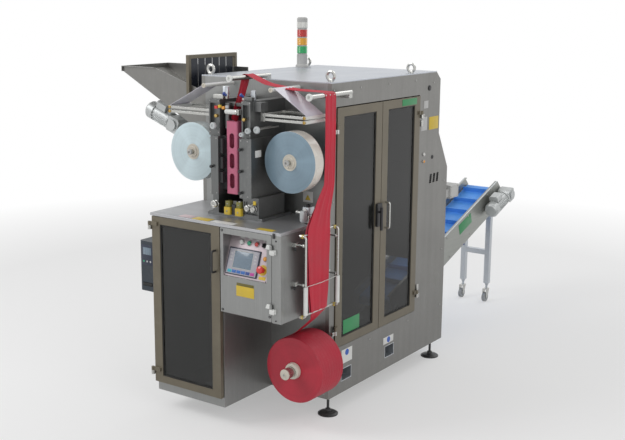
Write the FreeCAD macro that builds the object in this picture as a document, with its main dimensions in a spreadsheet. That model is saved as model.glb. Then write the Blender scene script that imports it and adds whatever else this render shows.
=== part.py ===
import FreeCAD, Part
import math
import os
import re
import Sketcher

# Net bag packaging machine, all sizes in millimetres.
# Places are measured from the machine corner: the right side wall is at x = 0, the body front
# at y = 0 and the ground at z = 0. Every sub-part is then shifted to the middle of the floor plan.

doc = FreeCAD.newDocument("NetBagPackagingMachine")
sheet = doc.addObject("Spreadsheet::Sheet", "Sizes")

SIZES = {
    # Shift from the machine corner to the middle of the floor plan
    "shift_right": 733.0,
    "shift_back": -1196.0,
    # Main body
    "body_depth": 1402.0,
    "ground_clearance": 112.0,
    "wall": 28.0,
    "floor_plate": 24.0,
    "roof_sheet": 6.0,
    "roof_setback": 187.0,
    "rear_chamfer_drop": 52.0,
    "rear_setback": 134.0,
    "rear_slope_drop": 402.0,
    "rear_slope_tall": 240.0,
    # Three vents in the right wall
    "louvre_inset": 249.0,
    "louvre_pitch": 46.0,
    "louvre_wide": 30.0,
    "louvre_lean": 8.0,
    "louvre_below": 20.0,
    "louvre_tall": 60.0,
    # Doors in the right side
    "side_opening_front": 50.0,
    "side_opening_margin": 400.0,
    "side_opening_bottom": 403.0,
    "side_opening_drop": 138.0,
    "side_door_gap": 5.5,
    "side_door_thickness": 24.0,
    "side_door_proud": 6.0,
    "side_door_split": 540.0,
    "side_door_rail": 52.0,
    "side_door_stile": 66.0,
    "door_glass": 6.0,
    "grip_reach": 32.0,
    "grip_bend": 12.0,
    "grip_radius": 6.0,
    "side_grip_rise": 633.0,
    "side_grip_tall": 158.0,
    "latch_rise": 657.0,
    "latch_tall": 140.0,
    "latch_wide": 54.0,
    "lever_reach": 32.0,
    "lever_radius": 9.0,
    # Front cabinet and its door
    "front_depth": 470.0,
    "front_door_thickness": 25.0,
    "front_door_gap": 3.0,
    "cabinet_inset": 9.0,
    "cabinet_split": 413.0,
    "cabinet_wall": 20.0,
    "table_plate": 16.0,
    "rail_inset": 151.0,
    "rail_wide": 36.0,
    "rail_deep": 60.0,
    "rail_stand": 60.0,
    "tray_gap": 14.0,
    "tray_wide": 180.0,
    "tray_deep": 200.0,
    "tray_stand": 130.0,
    "tray_tall": 14.0,
    "front_door_bottom": 172.0,
    "front_door_rail": 43.0,
    "front_door_stile": 60.0,
    "front_grip_drop": 276.0,
    "front_grip_tall": 120.0,
    # Control box and its door
    "box_tall": 500.0,
    "box_sheet": 3.0,
    "box_strip": 58.0,
    "control_door_thickness": 22.0,
    "recess_left": 390.0,
    "recess_right": 92.0,
    "recess_tall": 235.0,
    "recess_drop": 51.0,
    "recess_depth": 60.0,
    "screen_width": 216.0,
    "screen_tall": 150.0,
    "screen_deep": 8.0,
    "button_radius": 11.0,
    "button_pitch": 52.0,
    "stop_radius": 18.0,
    # Fork channels
    "fork_width": 104.0,
    "fork_tall": 70.0,
    "fork_bottom": 186.0,
    "fork_front": 138.0,
    "fork_back": 640.0,
    "fork_wall": 4.0,
    # Hinges of all doors
    "hinge_half": 24.0,
    "hinge_radius": 8.0,
    "hinge_slip": 0.4,
    "front_hinge_rise": 67.0,
    "front_hinge_drop": 73.0,
    "side_hinge_rise": 117.0,
    "side_hinge_drop": 122.0,
    "control_hinge_rise": 79.0,
    "control_hinge_drop": 95.0,
    # Junction box on the rear wall
    "junction_inset": 8.0,
    "junction_wide": 110.0,
    "junction_stand": 78.0,
    "junction_deep": 118.0,
    "junction_drop": 233.0,
    "junction_tall": 90.0,
    # Hatch in the rear wall, below and above the belt's line
    "hatch_below": 143.0,
    "hatch_above": 247.0,
    # Feet, eyes and signal tower
    "foot_radius": 60.0,
    "foot_pad": 14.0,
    "foot_stud": 8.0,
    "foot_inset": 38.0,
    "foot_front": 55.0,
    "foot_setback": 93.0,
    "eye_ring": 24.0,
    "eye_wire": 8.0,
    "eye_inset": 35.0,
    "eye_front": 42.0,
    "eye_rear": 275.0,
    "eye_rear_left": 170.0,
    "tower_radius": 35.0,
    "tower_inset": 60.0,
    "tower_setback": 265.0,
    "tower_foot": 22.0,
    "tower_base": 62.0,
    "tower_lens": 45.0,
    "tower_ring": 9.0,
    "tower_cap": 26.0,
    # Infeed chute, its curtain and its drive
    "chute_front": 32.0,
    "chute_back": 450.0,
    "chute_reach": 680.0,
    "chute_rim_reach": 409.0,
    "chute_sheet": 4.0,
    "chute_hem": 12.0,
    "chute_tip_tall": 34.0,
    "chute_rise": 23.0,
    "chute_mouth_drop": 115.0,
    "chute_fall": 0.527,
    "guard_bar": 22.0,
    "guard_reach": 110.0,
    "guard_rise": 110.0,
    "strip_count": 6.0,
    "strip_gap": 7.0,
    "strip_sheet": 4.0,
    "strip_tall": 286.0,
    "motor_radius": 57.0,
    "motor_cowl": 62.0,
    "fin_sheet": 3.0,
    "fin_count": 16.0,
    "terminal_wide": 72.0,
    "terminal_long": 80.0,
    "terminal_tall": 34.0,
    "chute_motor_tilt": 21.0,
    "chute_motor_long": 190.0,
    "chute_drive_reach": 440.0,
    "chute_drive_back": 205.0,
    "chute_drive_drop": 325.0,
    "gearbox_size": 96.0,
    "gearbox_chamfer": 14.0,
    # Label printer on the left of the cabinet
    "printer_wide": 122.0,
    "printer_deep": 230.0,
    "printer_tall": 300.0,
    "printer_drop": 486.0,
    "printer_corner": 18.0,
    "printer_inset": 30.0,
    # Film reels and their guides
    "film_radius": 169.0,
    "film_width": 80.0,
    "film_bore": 38.0,
    "film_face": 250.0,
    "film_lift": 170.0,
    "film_drop": 247.0,
    "film_margin": 102.0,
    "film_margin_left": 141.0,
    "reel_clear": 28.0,
    "reel_clear_left": 34.0,
    "spindle_radius": 14.0,
    "running_gap": 0.3,
    "guide_fall": 138.0,
    "guide_reach": 100.0,
    "guide_reach_left": 169.0,
    "pivot_offset": 19.0,
    "pivot_offset_left": 36.0,
    "guide_drop": 24.0,
    "guide_roller": 10.0,
    "guide_bar": 5.0,
    "guide_bar_tall": 14.0,
    "guide_back": 70.0,
    "top_roller_drop": 35.0,
    "top_roller_offset": 117.0,
    "top_roller_offset_left": 99.0,
    "web_sheet": 2.0,
    # Forming head
    "jaw_face": 350.0,
    "jaw_rise": 129.0,
    "jaw_tall": 330.0,
    "jaw_wide": 70.0,
    "jaw_wide_left": 67.0,
    "head_gap": 77.0,
    "head_gap_left": 73.0,
    "head_plate_drop": 100.0,
    "head_inset": 30.0,
    "head_cylinder": 17.0,
    "jaw_chamfer": 16.0,
    "knob_lift": 30.0,
    "knob_radius": 9.0,
    "actuator_inset": 40.0,
    "tube_wide": 78.0,
    "tube_deep": 46.0,
    "tube_face": 318.0,
    "tube_lift": 10.0,
    "tube_above": 85.0,
    "tube_wall": 4.0,
    "tube_corner": 8.0,
    "slot_lift": 48.0,
    "slot_tall": 84.0,
    "slot_wide": 34.0,
    "slot_pitch": 112.0,
    # Closing unit between the jaws and the table
    "closing_left": 194.0,
    "closing_right": 196.0,
    "closing_deep": 300.0,
    "closing_base": 16.0,
    "closing_stand": 60.0,
    "closing_base_stand": 28.0,
    "cheek_inset": 40.0,
    "cheek_wide": 40.0,
    "case_inset": 25.0,
    "case_wide": 110.0,
    "case_wall": 9.0,
    "case_lip_low": 14.0,
    "case_lip_high": 26.0,
    "case_pocket": 14.0,
    "closing_post": 7.0,
    "closing_post_offset": 69.0,
    "closing_post_drop": 22.0,
    "closing_middle": 28.0,
    "closing_middle_drop": 34.0,
    "anvil_gap": 18.0,
    "anvil_wide": 42.0,
    "anvil_proud": 20.0,
    "anvil_deep": 50.0,
    "anvil_tall": 44.0,
    "anvil_head": 35.0,
    "anvil_step": 5.0,
    "anvil_step_front": 6.0,
    "anvil_step_back": 8.0,
    "pull_wheel": 22.0,
    "pull_wheel_inset": 65.0,
    "pull_wheel_rise": 50.0,
    "small_wheel_low": 100.0,
    "small_wheel_high": 60.0,
    "pull_rim": 8.0,
    "pull_slope": 2.0,
    "pull_groove": 10.0,
    "pull_groove_deep": 3.0,
    "pull_back_rim": 6.0,
    "valve_inset": 14.0,
    "valve_wide": 56.0,
    "valve_deep": 70.0,
    "valve_stand": 120.0,
    "valve_tall": 90.0,
    "bowl_radius": 20.0,
    "bowl_offset": 14.0,
    "bowl_lift": 10.0,
    "bowl_tall": 64.0,
    "port_long": 50.0,
    "port_rise": 50.0,
    "port_radius": 12.0,
    # Net reel
    "net_radius": 190.0,
    "net_bore": 46.0,
    "net_wide": 220.0,
    "net_stand": 65.0,
    "net_inset": 44.0,
    "net_lift": 179.0,
    "net_above": 132.0,
    "net_spindle": 30.0,
    "net_spindle_proud": 87.0,
    # Net spreader on the right of the control box
    "web_right": 68.0,
    "spreader_rise": 27.0,
    "spreader_drop": 27.0,
    "spreader_back": -52.0,
    "spreader_long": 310.0,
    "spreader_bend": 14.0,
    "spreader_out": 20.0,
    "spreader_bar": 5.5,
    "spreader_nut": 10.0,
    "sleeve_front_long": 154.0,
    "sleeve_back_long": 154.0,
    "sleeve_lift": 16.0,
    "spreader_arm_low": 180.0,
    "spreader_arm_drop": 50.0,
    "spreader_rod": 6.0,
    "net_roller": 12.0,
    "top_bar_radius": 13.0,
    "top_bar_drop": 57.0,
    "top_bar_front": -279.0,
    "top_bar_back": 113.0,
    "left_bar_rise": 18.0,
    "left_bar_front": -312.0,
    "left_bar_back": 40.0,
    "net_flat_width": 216.0,
    "net_narrow_width": 100.0,
    "net_band_front": -160.0,
    "net_tail": 40.0,
    "net_gather": 240.0,
    # Discharge conveyor
    "belt_tilt": 18.7,
    "belt_tail_inside": 229.09,
    "belt_tail_height": 315.721,
    "belt_frame_long": 1760.0,
    "belt_frame_tall": 205.0,
    "belt_frame_right": -265.0,
    "belt_frame_left": -555.0,
    "belt_frame_sheet": 4.0,
    "belt_frame_lip": 22.0,
    "belt_roller": 36.0,
    "belt_sheet": 4.0,
    "belt_centre": 92.0,
    "belt_edge_gap": 6.0,
    "cleat_tall": 34.0,
    "cleat_sheet": 5.0,
    "cleat_pitch": 176.0,
    "belt_motor_long": 240.0,
    "boss_tall": 12.0,
    # Conveyor stand and its casters
    "stand_right": -305.0,
    "stand_left": -515.0,
    "stand_setback": 75.0,
    "stand_tube": 40.0,
    "stand_bottom": 128.0,
    "stand_plug": 22.0,
    "stand_cross": 385.0,
    "wheel_radius": 37.5,
    "wheel_width": 24.0,
    "wheel_trail": 24.0,
    "fork_sheet": 3.0,
    "fork_clear": 2.0,
    "axle_radius": 5.0,
}

# Places that follow from the sizes: each piece is set out from what it seats on or clears
LINKED = {
    "net_right": "0 - net_inset",
    "net_front": "net_back - net_wide",
    "net_back": "0 - net_stand",
    "net_height": "net_lift + net_radius",
    "box_bottom": "net_height + net_radius + net_above",
    "table_height": "box_bottom + box_tall",
    "film_height": "table_height + film_lift + film_radius",
    "guide_height": "film_height + film_drop",
    "top_roller_height": "guide_height + guide_fall",
    "roof_height": "top_roller_height + top_roller_drop",
    "roof_depth": "body_depth - roof_setback",
    "rear_depth": "body_depth - rear_setback",
    "rear_slope_top": "roof_height - rear_slope_drop",
    "rear_slope_bottom": "rear_slope_top - rear_slope_tall",
    "louvre_back": "body_depth - louvre_inset",
    "louvre_bottom": "rear_slope_bottom - louvre_below - louvre_tall",
    "rear_chamfer_height": "roof_height - rear_chamfer_drop",
    "side_opening_top": "roof_height - side_opening_drop",
    "side_opening_back": "body_depth - side_opening_margin",
    "side_grip_low": "side_opening_bottom + side_grip_rise",
    "latch_low": "side_opening_bottom + latch_rise",
    "front_grip_low": "table_height - front_grip_drop",
    "front_hinge_low": "front_door_bottom + front_hinge_rise",
    "front_hinge_high": "table_height - front_hinge_drop",
    "side_hinge_low": "side_opening_bottom + side_hinge_rise",
    "side_hinge_high": "side_opening_top - side_hinge_drop",
    "control_hinge_low": "box_bottom + control_hinge_rise",
    "control_hinge_high": "table_height - control_hinge_drop",
    "recess_top": "table_height - recess_drop",
    "recess_bottom": "recess_top - recess_tall",
    "junction_low": "rear_slope_bottom - junction_drop",
    "belt_head_back": "body_depth - belt_tail_inside + belt_frame_long * cos(belt_tilt * 1deg)",
    "belt_head_height": "belt_tail_height + belt_frame_long * sin(belt_tilt * 1deg)",
    "hatch_middle": "belt_tail_height + belt_tail_inside * tan(belt_tilt * 1deg)",
    "hatch_bottom": "hatch_middle - hatch_below",
    "hatch_top": "hatch_middle + hatch_above",
    "foot_back": "body_depth - foot_setback",
    "eye_back": "roof_depth - eye_rear",
    "eye_back_left": "roof_depth - eye_rear_left",
    "film_right": "0 - film_margin",
    "jaw_right_high": "film_right - film_radius - reel_clear",
    "jaw_right_low": "jaw_right_high - jaw_wide",
    "head_centre": "jaw_right_low - head_gap",
    "jaw_left_high": "head_centre - head_gap_left",
    "jaw_left_low": "jaw_left_high - jaw_wide_left",
    "film_left": "jaw_left_low - reel_clear_left - film_radius",
    "body_width": "film_margin_left - film_left",
    "tower_right": "tower_inset - body_width",
    "tower_back": "roof_depth - tower_setback",
    "chute_tip": "0 - body_width - chute_reach",
    "chute_rim_end": "0 - body_width - chute_rim_reach",
    "chute_rim": "roof_height + chute_rise",
    "chute_tip_low": "chute_rim - chute_tip_tall",
    "chute_mouth_top": "roof_height - chute_mouth_drop",
    "guard_right": "0 - body_width - guard_reach",
    "guard_top": "roof_height + guard_rise",
    "strip_bottom": "guard_top - guard_bar - strip_tall",
    "chute_drive_right": "0 - body_width - chute_drive_reach",
    "chute_drive_height": "roof_height - chute_drive_drop",
    "printer_front": "printer_inset - front_depth",
    "printer_bottom": "table_height - printer_drop",
    "guide_right": "film_right + guide_reach",
    "guide_left": "film_left - guide_reach_left",
    "guide_pivot_right": "jaw_right_high + pivot_offset",
    "guide_pivot_left": "jaw_left_low - pivot_offset_left",
    "top_roller_right": "film_right - top_roller_offset",
    "top_roller_left": "film_left + top_roller_offset_left",
    "jaw_bottom": "table_height + jaw_rise",
    "jaw_top": "jaw_bottom + jaw_tall",
    "tube_bottom": "jaw_bottom + tube_lift",
    "tube_top": "jaw_top + tube_above",
    "head_plate_top": "roof_height - head_plate_drop",
    "net_spindle_end": "net_front - net_spindle_proud",
    "spreader_low": "box_bottom + spreader_rise",
    "spreader_high": "table_height - spreader_drop",
    "spreader_front": "spreader_back - spreader_long",
    "spreader_right": "web_right + spreader_out",
    "spreader_bar_right": "web_right - web_sheet - running_gap - spreader_bar",
    "top_bar_right": "web_right - web_sheet - running_gap - top_bar_radius",
    "top_bar_height": "roof_height - top_bar_drop",
    "left_bar_height": "roof_height + left_bar_rise",
    "left_bar_right": "head_centre - 10",
    "stand_back": "belt_head_back - stand_setback",
}

for row, (word, number) in enumerate(SIZES.items(), start=1):
    sheet.set(f"A{row}", word)
    sheet.set(f"B{row}", str(number))
    sheet.setAlias(f"B{row}", word)
doc.recompute()

X_AXIS = FreeCAD.Vector(1, 0, 0)
Y_AXIS = FreeCAD.Vector(0, 1, 0)
Z_AXIS = FreeCAD.Vector(0, 0, 1)
TURN_FOR_AXIS = {
    "x": FreeCAD.Rotation(Y_AXIS, 90),
    "y": FreeCAD.Rotation(X_AXIS, -90),
    "z": FreeCAD.Rotation(),
}
NAME = re.compile("[a-z_]+")
SUB_PARTS = []
PLACES = {}


def formula(text):
    """Writes out the linked places in a formula and points the size names at the sheet."""
    text = str(text)
    while True:
        longer = NAME.sub(lambda word: f"({LINKED[word.group()]})" if word.group() in LINKED else word.group(), text)
        if longer == text:
            break
        text = longer
    return NAME.sub(lambda word: "Sizes." + word.group() if word.group() in SIZES else word.group(), text)


def put(item, right, back, up, turn=None):
    """Places an object by three formulas and a fixed turn."""
    if turn is not None:
        item.Placement = FreeCAD.Placement(FreeCAD.Vector(), turn)
    PLACES[item.Name] = (right, back, up)
    for axis, text in (("x", right), ("y", back), ("z", up)):
        item.setExpression("Placement.Base." + axis, formula(text))
    return item


def sub_part(item, label, right="0", back="0", up="0", turn=None):
    """Names a finished sub-part and shifts it to the middle of the floor plan."""
    item.Label = label
    own = PLACES.get(item.Name, ("0", "0", "0"))
    put(item, f"shift_right + {right} + {own[0]}", f"shift_back + {back} + {own[1]}", f"{up} + {own[2]}", turn)
    SUB_PARTS.append(item)
    return item


def block(name, x, y, z):
    """A block between two formulas on each axis."""
    item = doc.addObject("Part::Box", name)
    for side, (low, high) in (("Length", x), ("Width", y), ("Height", z)):
        item.setExpression(side, formula(f"({high}) - ({low})"))
    return put(item, x[0], y[0], z[0])


def rod(name, axis, start, end, radius):
    """A round bar along an axis, from a start point to an end formula on that axis."""
    item = doc.addObject("Part::Cylinder", name)
    first = start["xyz".index(axis)]
    item.setExpression("Radius", formula(radius))
    item.setExpression("Height", formula(f"({end}) - ({first})"))
    return put(item, *start, turn=TURN_FOR_AXIS[axis])


def join(name, *items):
    """One object made of several, touching or apart."""
    item = doc.addObject("Part::MultiFuse", name)
    item.Shapes = list(items)
    return item


def cut(name, base, *tools):
    """A base with the tools taken away."""
    item = doc.addObject("Part::Cut", name)
    item.Base = base
    item.Tool = tools[0] if len(tools) == 1 else join(name + "Tools", *tools)
    return item


def plane_of(body, role):
    """One of the origin planes of a body."""
    return [plane for plane in body.Origin.OriginFeatures if plane.Role == role][0]


def outline(body, name, role, corners):
    """A closed sketch on an origin plane, whose corners are pairs of formulas."""
    sketch = body.newObject("Sketcher::SketchObject", name)
    sketch.AttachmentSupport = [(plane_of(body, role), "")]
    sketch.MapMode = "FlatFace"
    points = [FreeCAD.Vector(value(across), value(along), 0) for across, along in corners]
    count = len(points)
    for index in range(count):
        sketch.addGeometry(Part.LineSegment(points[index], points[(index + 1) % count]), False)
    for index in range(count):
        sketch.addConstraint(Sketcher.Constraint("Coincident", index, 2, (index + 1) % count, 1))
    for index, (across, along) in enumerate(corners):
        for kind, text, number in (("DistanceX", across, points[index].x), ("DistanceY", along, points[index].y)):
            made = sketch.addConstraint(Sketcher.Constraint(kind, -1, 1, index, 1, number))
            sketch.setExpression(f"Constraints[{made}]", formula(text))
    return sketch


def value(text):
    """The number that a formula stands for, worked out by the sheet."""
    probe.set("A1", "=" + formula(text))
    probe.recompute()
    return float(probe.get("A1"))


probe = doc.addObject("Spreadsheet::Sheet", "Probe")


def prism(name, role, corners, low, high):
    """A padded outline: along +X from the YZ plane, along +Y from the XZ plane, along +Z from the XY plane."""
    body = doc.addObject("PartDesign::Body", name)
    sketch = outline(body, name + "Outline", role, corners)
    pad = body.newObject("PartDesign::Pad", name + "Pad")
    pad.Profile = sketch
    pad.Reversed = role == "XZ_Plane"
    pad.setExpression("Length", formula(f"({high}) - ({low})"))
    sketch.Visibility = False
    offsets = {"YZ_Plane": (low, "0", "0"), "XZ_Plane": ("0", low, "0"), "XY_Plane": ("0", "0", low)}
    return put(body, *offsets[role])


def turned(name, corners):
    """A turned piece about +Z, from pairs of radius and height."""
    body = doc.addObject("PartDesign::Body", name)
    sketch = outline(body, name + "Profile", "XZ_Plane", corners)
    turning = body.newObject("PartDesign::Revolution", name + "Turn")
    turning.Profile = sketch
    turning.ReferenceAxis = (sketch, ["V_Axis"])
    turning.Angle = 360
    sketch.Visibility = False
    return body


def bow(name, reach, tall, bend, radius):
    """A round bar bent like a bow in the XZ plane: out along +X, up, and back to its own axis."""
    body = doc.addObject("PartDesign::Body", name)
    path = body.newObject("Sketcher::SketchObject", name + "Path")
    path.AttachmentSupport = [(plane_of(body, "XZ_Plane"), "")]
    path.MapMode = "FlatFace"
    far, top, turn = value(reach), value(tall), value(bend)
    arcs = [(turn, -math.pi / 2, 0), (top - turn, 0, math.pi / 2)]
    lines = [((0, 0), (far - turn, 0)), ((far, turn), (far, top - turn)), ((far - turn, top), (0, top))]
    for index, (start, end) in enumerate(lines):
        path.addGeometry(Part.LineSegment(FreeCAD.Vector(*start, 0), FreeCAD.Vector(*end, 0)), False)
        if index < 2:
            high, first, last = arcs[index]
            circle = Part.Circle(FreeCAD.Vector(far - turn, high, 0), Z_AXIS, turn)
            path.addGeometry(Part.ArcOfCircle(circle, first, last), False)
    for index in range(4):
        path.addConstraint(Sketcher.Constraint("Tangent", index, 2, index + 1, 1))
    path.addConstraint(Sketcher.Constraint("Coincident", 0, 1, -1, 1))
    for index, kind in ((0, "Horizontal"), (2, "Vertical"), (4, "Horizontal")):
        path.addConstraint(Sketcher.Constraint(kind, index))
    path.addConstraint(Sketcher.Constraint("PointOnObject", 4, 2, -2))
    path.addConstraint(Sketcher.Constraint("Equal", 1, 3))
    for kind, where, text in (("DistanceX", (-1, 1, 2, 1), reach), ("DistanceY", (-1, 1, 4, 2), tall),
                              ("Radius", (1,), bend)):
        made = path.addConstraint(Sketcher.Constraint(kind, *where, value(text)))
        path.setExpression(f"Constraints[{made}]", formula(text))
    section = body.newObject("Sketcher::SketchObject", name + "Section")
    section.AttachmentSupport = [(plane_of(body, "YZ_Plane"), "")]
    section.MapMode = "FlatFace"
    section.addGeometry(Part.Circle(FreeCAD.Vector(), Z_AXIS, value(radius)), False)
    section.addConstraint(Sketcher.Constraint("Coincident", 0, 3, -1, 1))
    made = section.addConstraint(Sketcher.Constraint("Radius", 0, value(radius)))
    section.setExpression(f"Constraints[{made}]", formula(radius))
    pipe = body.newObject("PartDesign::AdditivePipe", name + "Pipe")
    pipe.Profile = section
    pipe.Spine = (path, [f"Edge{index}" for index in range(1, 6)])
    return body


def softened(name, item, kind, size, picks):
    """An item whose edges that a test picks are rounded (Fillet) or cut off (Chamfer)."""
    doc.recompute()
    made = doc.addObject("Part::" + kind, name)
    made.Base = item
    picked = [index for index, edge in enumerate(item.Shape.Edges, start=1) if picks(edge)]
    made.Edges = [(index, value(size), value(size)) for index in picked]
    return made


def runs_along(axis):
    """A test for the straight edges along an axis."""
    place = "xyz".index(axis)
    return lambda edge: abs(edge.tangentAt(edge.FirstParameter)[place]) > 0.99


def hinge_halves(name, x, y, z, fixed_leaf, moving_leaf):
    """Two knuckles on one upright axis, each with a flat leaf, as a fixed and a moving half."""
    halves = []
    for part, low, high, leaf in (
        ("Fixed", f"{z} - hinge_half", f"{z} - hinge_slip", fixed_leaf),
        ("Moving", f"{z} + hinge_slip", f"{z} + hinge_half", moving_leaf),
    ):
        knuckle = rod(name + part + "Knuckle", "z", (x, y, low), high, "hinge_radius")
        plate = block(name + part + "Leaf", leaf[0], leaf[1], (low, high))
        halves.append(join(name + part, knuckle, plate))
    return halves


def side_profile():
    """Corners of the side wall, seen from the right."""
    return [
        ("0", "ground_clearance"),
        ("body_depth", "ground_clearance"),
        ("body_depth", "rear_slope_bottom"),
        ("rear_depth", "rear_slope_top"),
        ("rear_depth", "rear_chamfer_height"),
        ("roof_depth", "roof_height - roof_sheet"),
        ("0", "roof_height - roof_sheet"),
    ]


def fork_slot(name, front, x, slack="0"):
    """The space of one fork channel, with some slack around it."""
    y = (f"{front} - {slack}", f"{front} + fork_width + {slack}")
    return block(name, x, y, (f"fork_bottom - {slack}", f"fork_bottom + fork_tall + {slack}"))


def side_panels():
    """Both side walls: the right one with its doorway, the left one with the chute's mouth."""
    right = prism("RightWall", "YZ_Plane", side_profile(), "-wall", "0")
    across = ("-wall - 1", "1")
    doorway = block("RightDoorway", across, ("side_opening_front", "side_opening_back"),
                    ("side_opening_bottom", "side_opening_top"))
    slots = [fork_slot("RightSlot" + name, front, across, "fork_wall")
             for name, front in (("Front", "fork_front"), ("Back", "fork_back"))]
    louvres = [prism(f"Louvre{index}", "YZ_Plane", [
        (f"louvre_back + {index} * louvre_pitch", "louvre_bottom"),
        (f"louvre_back + {index} * louvre_pitch + louvre_wide", "louvre_bottom"),
        (f"louvre_back + {index} * louvre_pitch + louvre_wide + louvre_lean", "louvre_bottom + louvre_tall"),
        (f"louvre_back + {index} * louvre_pitch + louvre_lean", "louvre_bottom + louvre_tall"),
    ], *across) for index in range(3)]
    sub_part(cut("RightWallCut", right, doorway, *slots, *louvres), "side_panel_right")

    left = prism("LeftWall", "YZ_Plane", side_profile(), "-body_width", "wall - body_width")
    across = ("-body_width - 1", "wall - body_width + 1")
    slots = [fork_slot("LeftSlot" + name, front, across, "fork_wall")
             for name, front in (("Front", "fork_front"), ("Back", "fork_back"))]
    mouth = block("ChuteMouth", across, ("chute_front", "chute_back"),
                  ("chute_tip_low - chute_fall * (wall - body_width - chute_tip) - chute_sheet - 2",
                   "chute_mouth_top + (chute_rim - chute_mouth_top) * wall / (wall - body_width - chute_rim_end) + 2"))
    sub_part(cut("LeftWallCut", left, mouth, *slots), "side_panel_left")


def body_shell():
    """Floor, front wall, rear wall and roof between and over the side walls."""
    inside = ("wall - body_width", "-wall")
    floor = block("Floor", inside, ("0", "body_depth"), ("ground_clearance", "ground_clearance + floor_plate"))
    sub_part(floor, "body_floor")
    front = block("FrontWall", inside, ("0", "wall"), ("ground_clearance + floor_plate", "roof_height - roof_sheet"))
    sub_part(front, "front_panel")
    outer = side_profile()[1:6]
    outer[0] = ("body_depth", "ground_clearance + floor_plate")
    inner = [(f"{depth} - wall", height) for depth, height in reversed(outer)]
    rear = prism("RearWall", "YZ_Plane", outer + inner, *inside)
    hatch = block("ConveyorHatch", ("belt_frame_left - running_gap", "belt_frame_right + running_gap"),
                  ("body_depth - wall - 1", "body_depth + 1"), ("hatch_bottom", "hatch_top"))
    sub_part(cut("RearWallCut", rear, hatch), "rear_panel")
    case = block("JunctionCase", ("-junction_inset - junction_wide", "-junction_inset"),
                 ("body_depth + junction_stand", "body_depth + junction_stand + junction_deep"),
                 ("junction_low", "junction_low + junction_tall"))
    bracket = block("JunctionBracket", ("-junction_inset - junction_wide + 14", "-junction_inset - 14"),
                    ("body_depth", "body_depth + junction_stand"),
                    ("junction_low + 10", "junction_low + junction_tall - 24"))
    rounded = softened("JunctionRounded", case, "Fillet", "6", runs_along("y"))
    sub_part(join("JunctionBox", rounded, bracket), "junction_box")
    lid = block("Roof", ("-body_width", "0"), ("0", "roof_depth"), ("roof_height - roof_sheet", "roof_height"))
    sub_part(lid, "roof_panel")


def fork_channels():
    """Two rectangular tubes for the forks of a lift truck, through both side walls."""
    tubes = []
    for name, front in (("Front", "fork_front"), ("Back", "fork_back")):
        outer = fork_slot("Channel" + name, front, ("-body_width", "0"), "fork_wall")
        hollow = fork_slot("ChannelHollow" + name, front, ("-body_width - 1", "1"))
        tubes.append(cut("ChannelTube" + name, outer, hollow))
    sub_part(join("ForkChannels", *tubes), "fork_channels")


def front_cabinet():
    """The glazed cabinet under the left of the table, open to the front and closed by the body behind."""
    left = "cabinet_inset - body_width"
    face = "front_door_thickness + front_door_gap - front_depth"
    shell = block("CabinetShell", (left, "-cabinet_split"), (face, "0"),
                  ("ground_clearance", "table_height - table_plate"))
    hollow = block("CabinetHollow", (f"{left} + cabinet_wall", "-cabinet_split - cabinet_wall"),
                   (f"{face} + cabinet_wall", "1"),
                   ("ground_clearance + cabinet_wall", "table_height - table_plate - cabinet_wall"))
    doorway = block("CabinetDoorway", (f"{left} + front_door_stile", "-cabinet_split - front_door_stile"),
                    (f"{face} - 1", f"{face} + cabinet_wall + 1"),
                    ("front_door_bottom + front_door_rail", "table_height - table_plate - front_door_rail"))
    sub_part(cut("CabinetCut", shell, hollow, doorway), "front_cabinet")
    table = block("Table", ("-body_width", "0"), ("-front_depth", "0"), ("table_height - table_plate", "table_height"))
    sub_part(table, "table_top")
    rail_x = f"{left} + cabinet_wall + rail_inset"
    bottom = "ground_clearance + cabinet_wall"
    rail = block("CabinetRail", (rail_x, f"{rail_x} + rail_wide"), ("-rail_stand - rail_deep", "-rail_stand"),
                 (bottom, "table_height - table_plate - cabinet_wall"))
    tray_x = f"{rail_x} + rail_wide + tray_gap"
    tray = block("CabinetTray", (tray_x, f"{tray_x} + tray_wide"), ("-tray_stand - tray_deep", "-tray_stand"),
                 (bottom, f"{bottom} + tray_tall"))
    sub_part(join("CabinetFittings", rail, tray), "cabinet_fittings")


def front_door():
    """The cabinet's glazed door, hung on its left edge. Returns its fixed hinge halves."""
    left = "cabinet_inset - body_width + 2"
    right = "-cabinet_split - 4"
    top = "table_height - table_plate - 3"
    thick = ("-front_depth", "front_door_thickness - front_depth")
    frame = block("FrontDoorSlab", (left, right), thick, ("front_door_bottom", top))
    inner_x = (f"{left} + front_door_stile", f"{right} - front_door_stile")
    inner_z = ("front_door_bottom + front_door_rail", f"{top} - front_door_rail")
    window = block("FrontDoorWindow", inner_x, (f"{thick[0]} - 1", f"{thick[1]} + 1"), inner_z)
    fixed = []
    moving = [cut("FrontDoorFrame", frame, window)]
    for name, height in (("Low", "front_hinge_low"), ("High", "front_hinge_high")):
        still, swinging = hinge_halves(
            "FrontHinge" + name, "-body_width - 1", "-front_depth - 9", height,
            (("-body_width - 5", "cabinet_inset - body_width"),
             ("-front_depth - 9", "front_door_thickness + front_door_gap - front_depth + 30")),
            (("-body_width - 1", f"{left} + 45"), ("-front_depth - 9", "-front_depth")),
        )
        fixed.append(still)
        moving.append(swinging)
    sub_part(join("FrontDoor", *moving), "front_door_frame")
    middle = "(front_door_thickness - door_glass) / 2 - front_depth"
    glass = block("FrontDoorPane", inner_x, (middle, f"{middle} + door_glass"), inner_z)
    sub_part(glass, "front_door_glass")
    grip = bow_handle("FrontDoorGrip", "-cabinet_split - 4 - front_door_stile / 2", "-front_depth",
                      "front_grip_low", "front_grip_tall", FreeCAD.Rotation(Z_AXIS, -90))
    sub_part(grip, "front_door_handle")
    return fixed


def bow_handle(name, x, y, z, span, turn):
    """A bent bar handle that stands on a face: its foot line at x and y, from z up over its span."""
    return put(bow(name, "grip_reach", span, "grip_bend", "grip_radius"), x, y, z, turn=turn)


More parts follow.
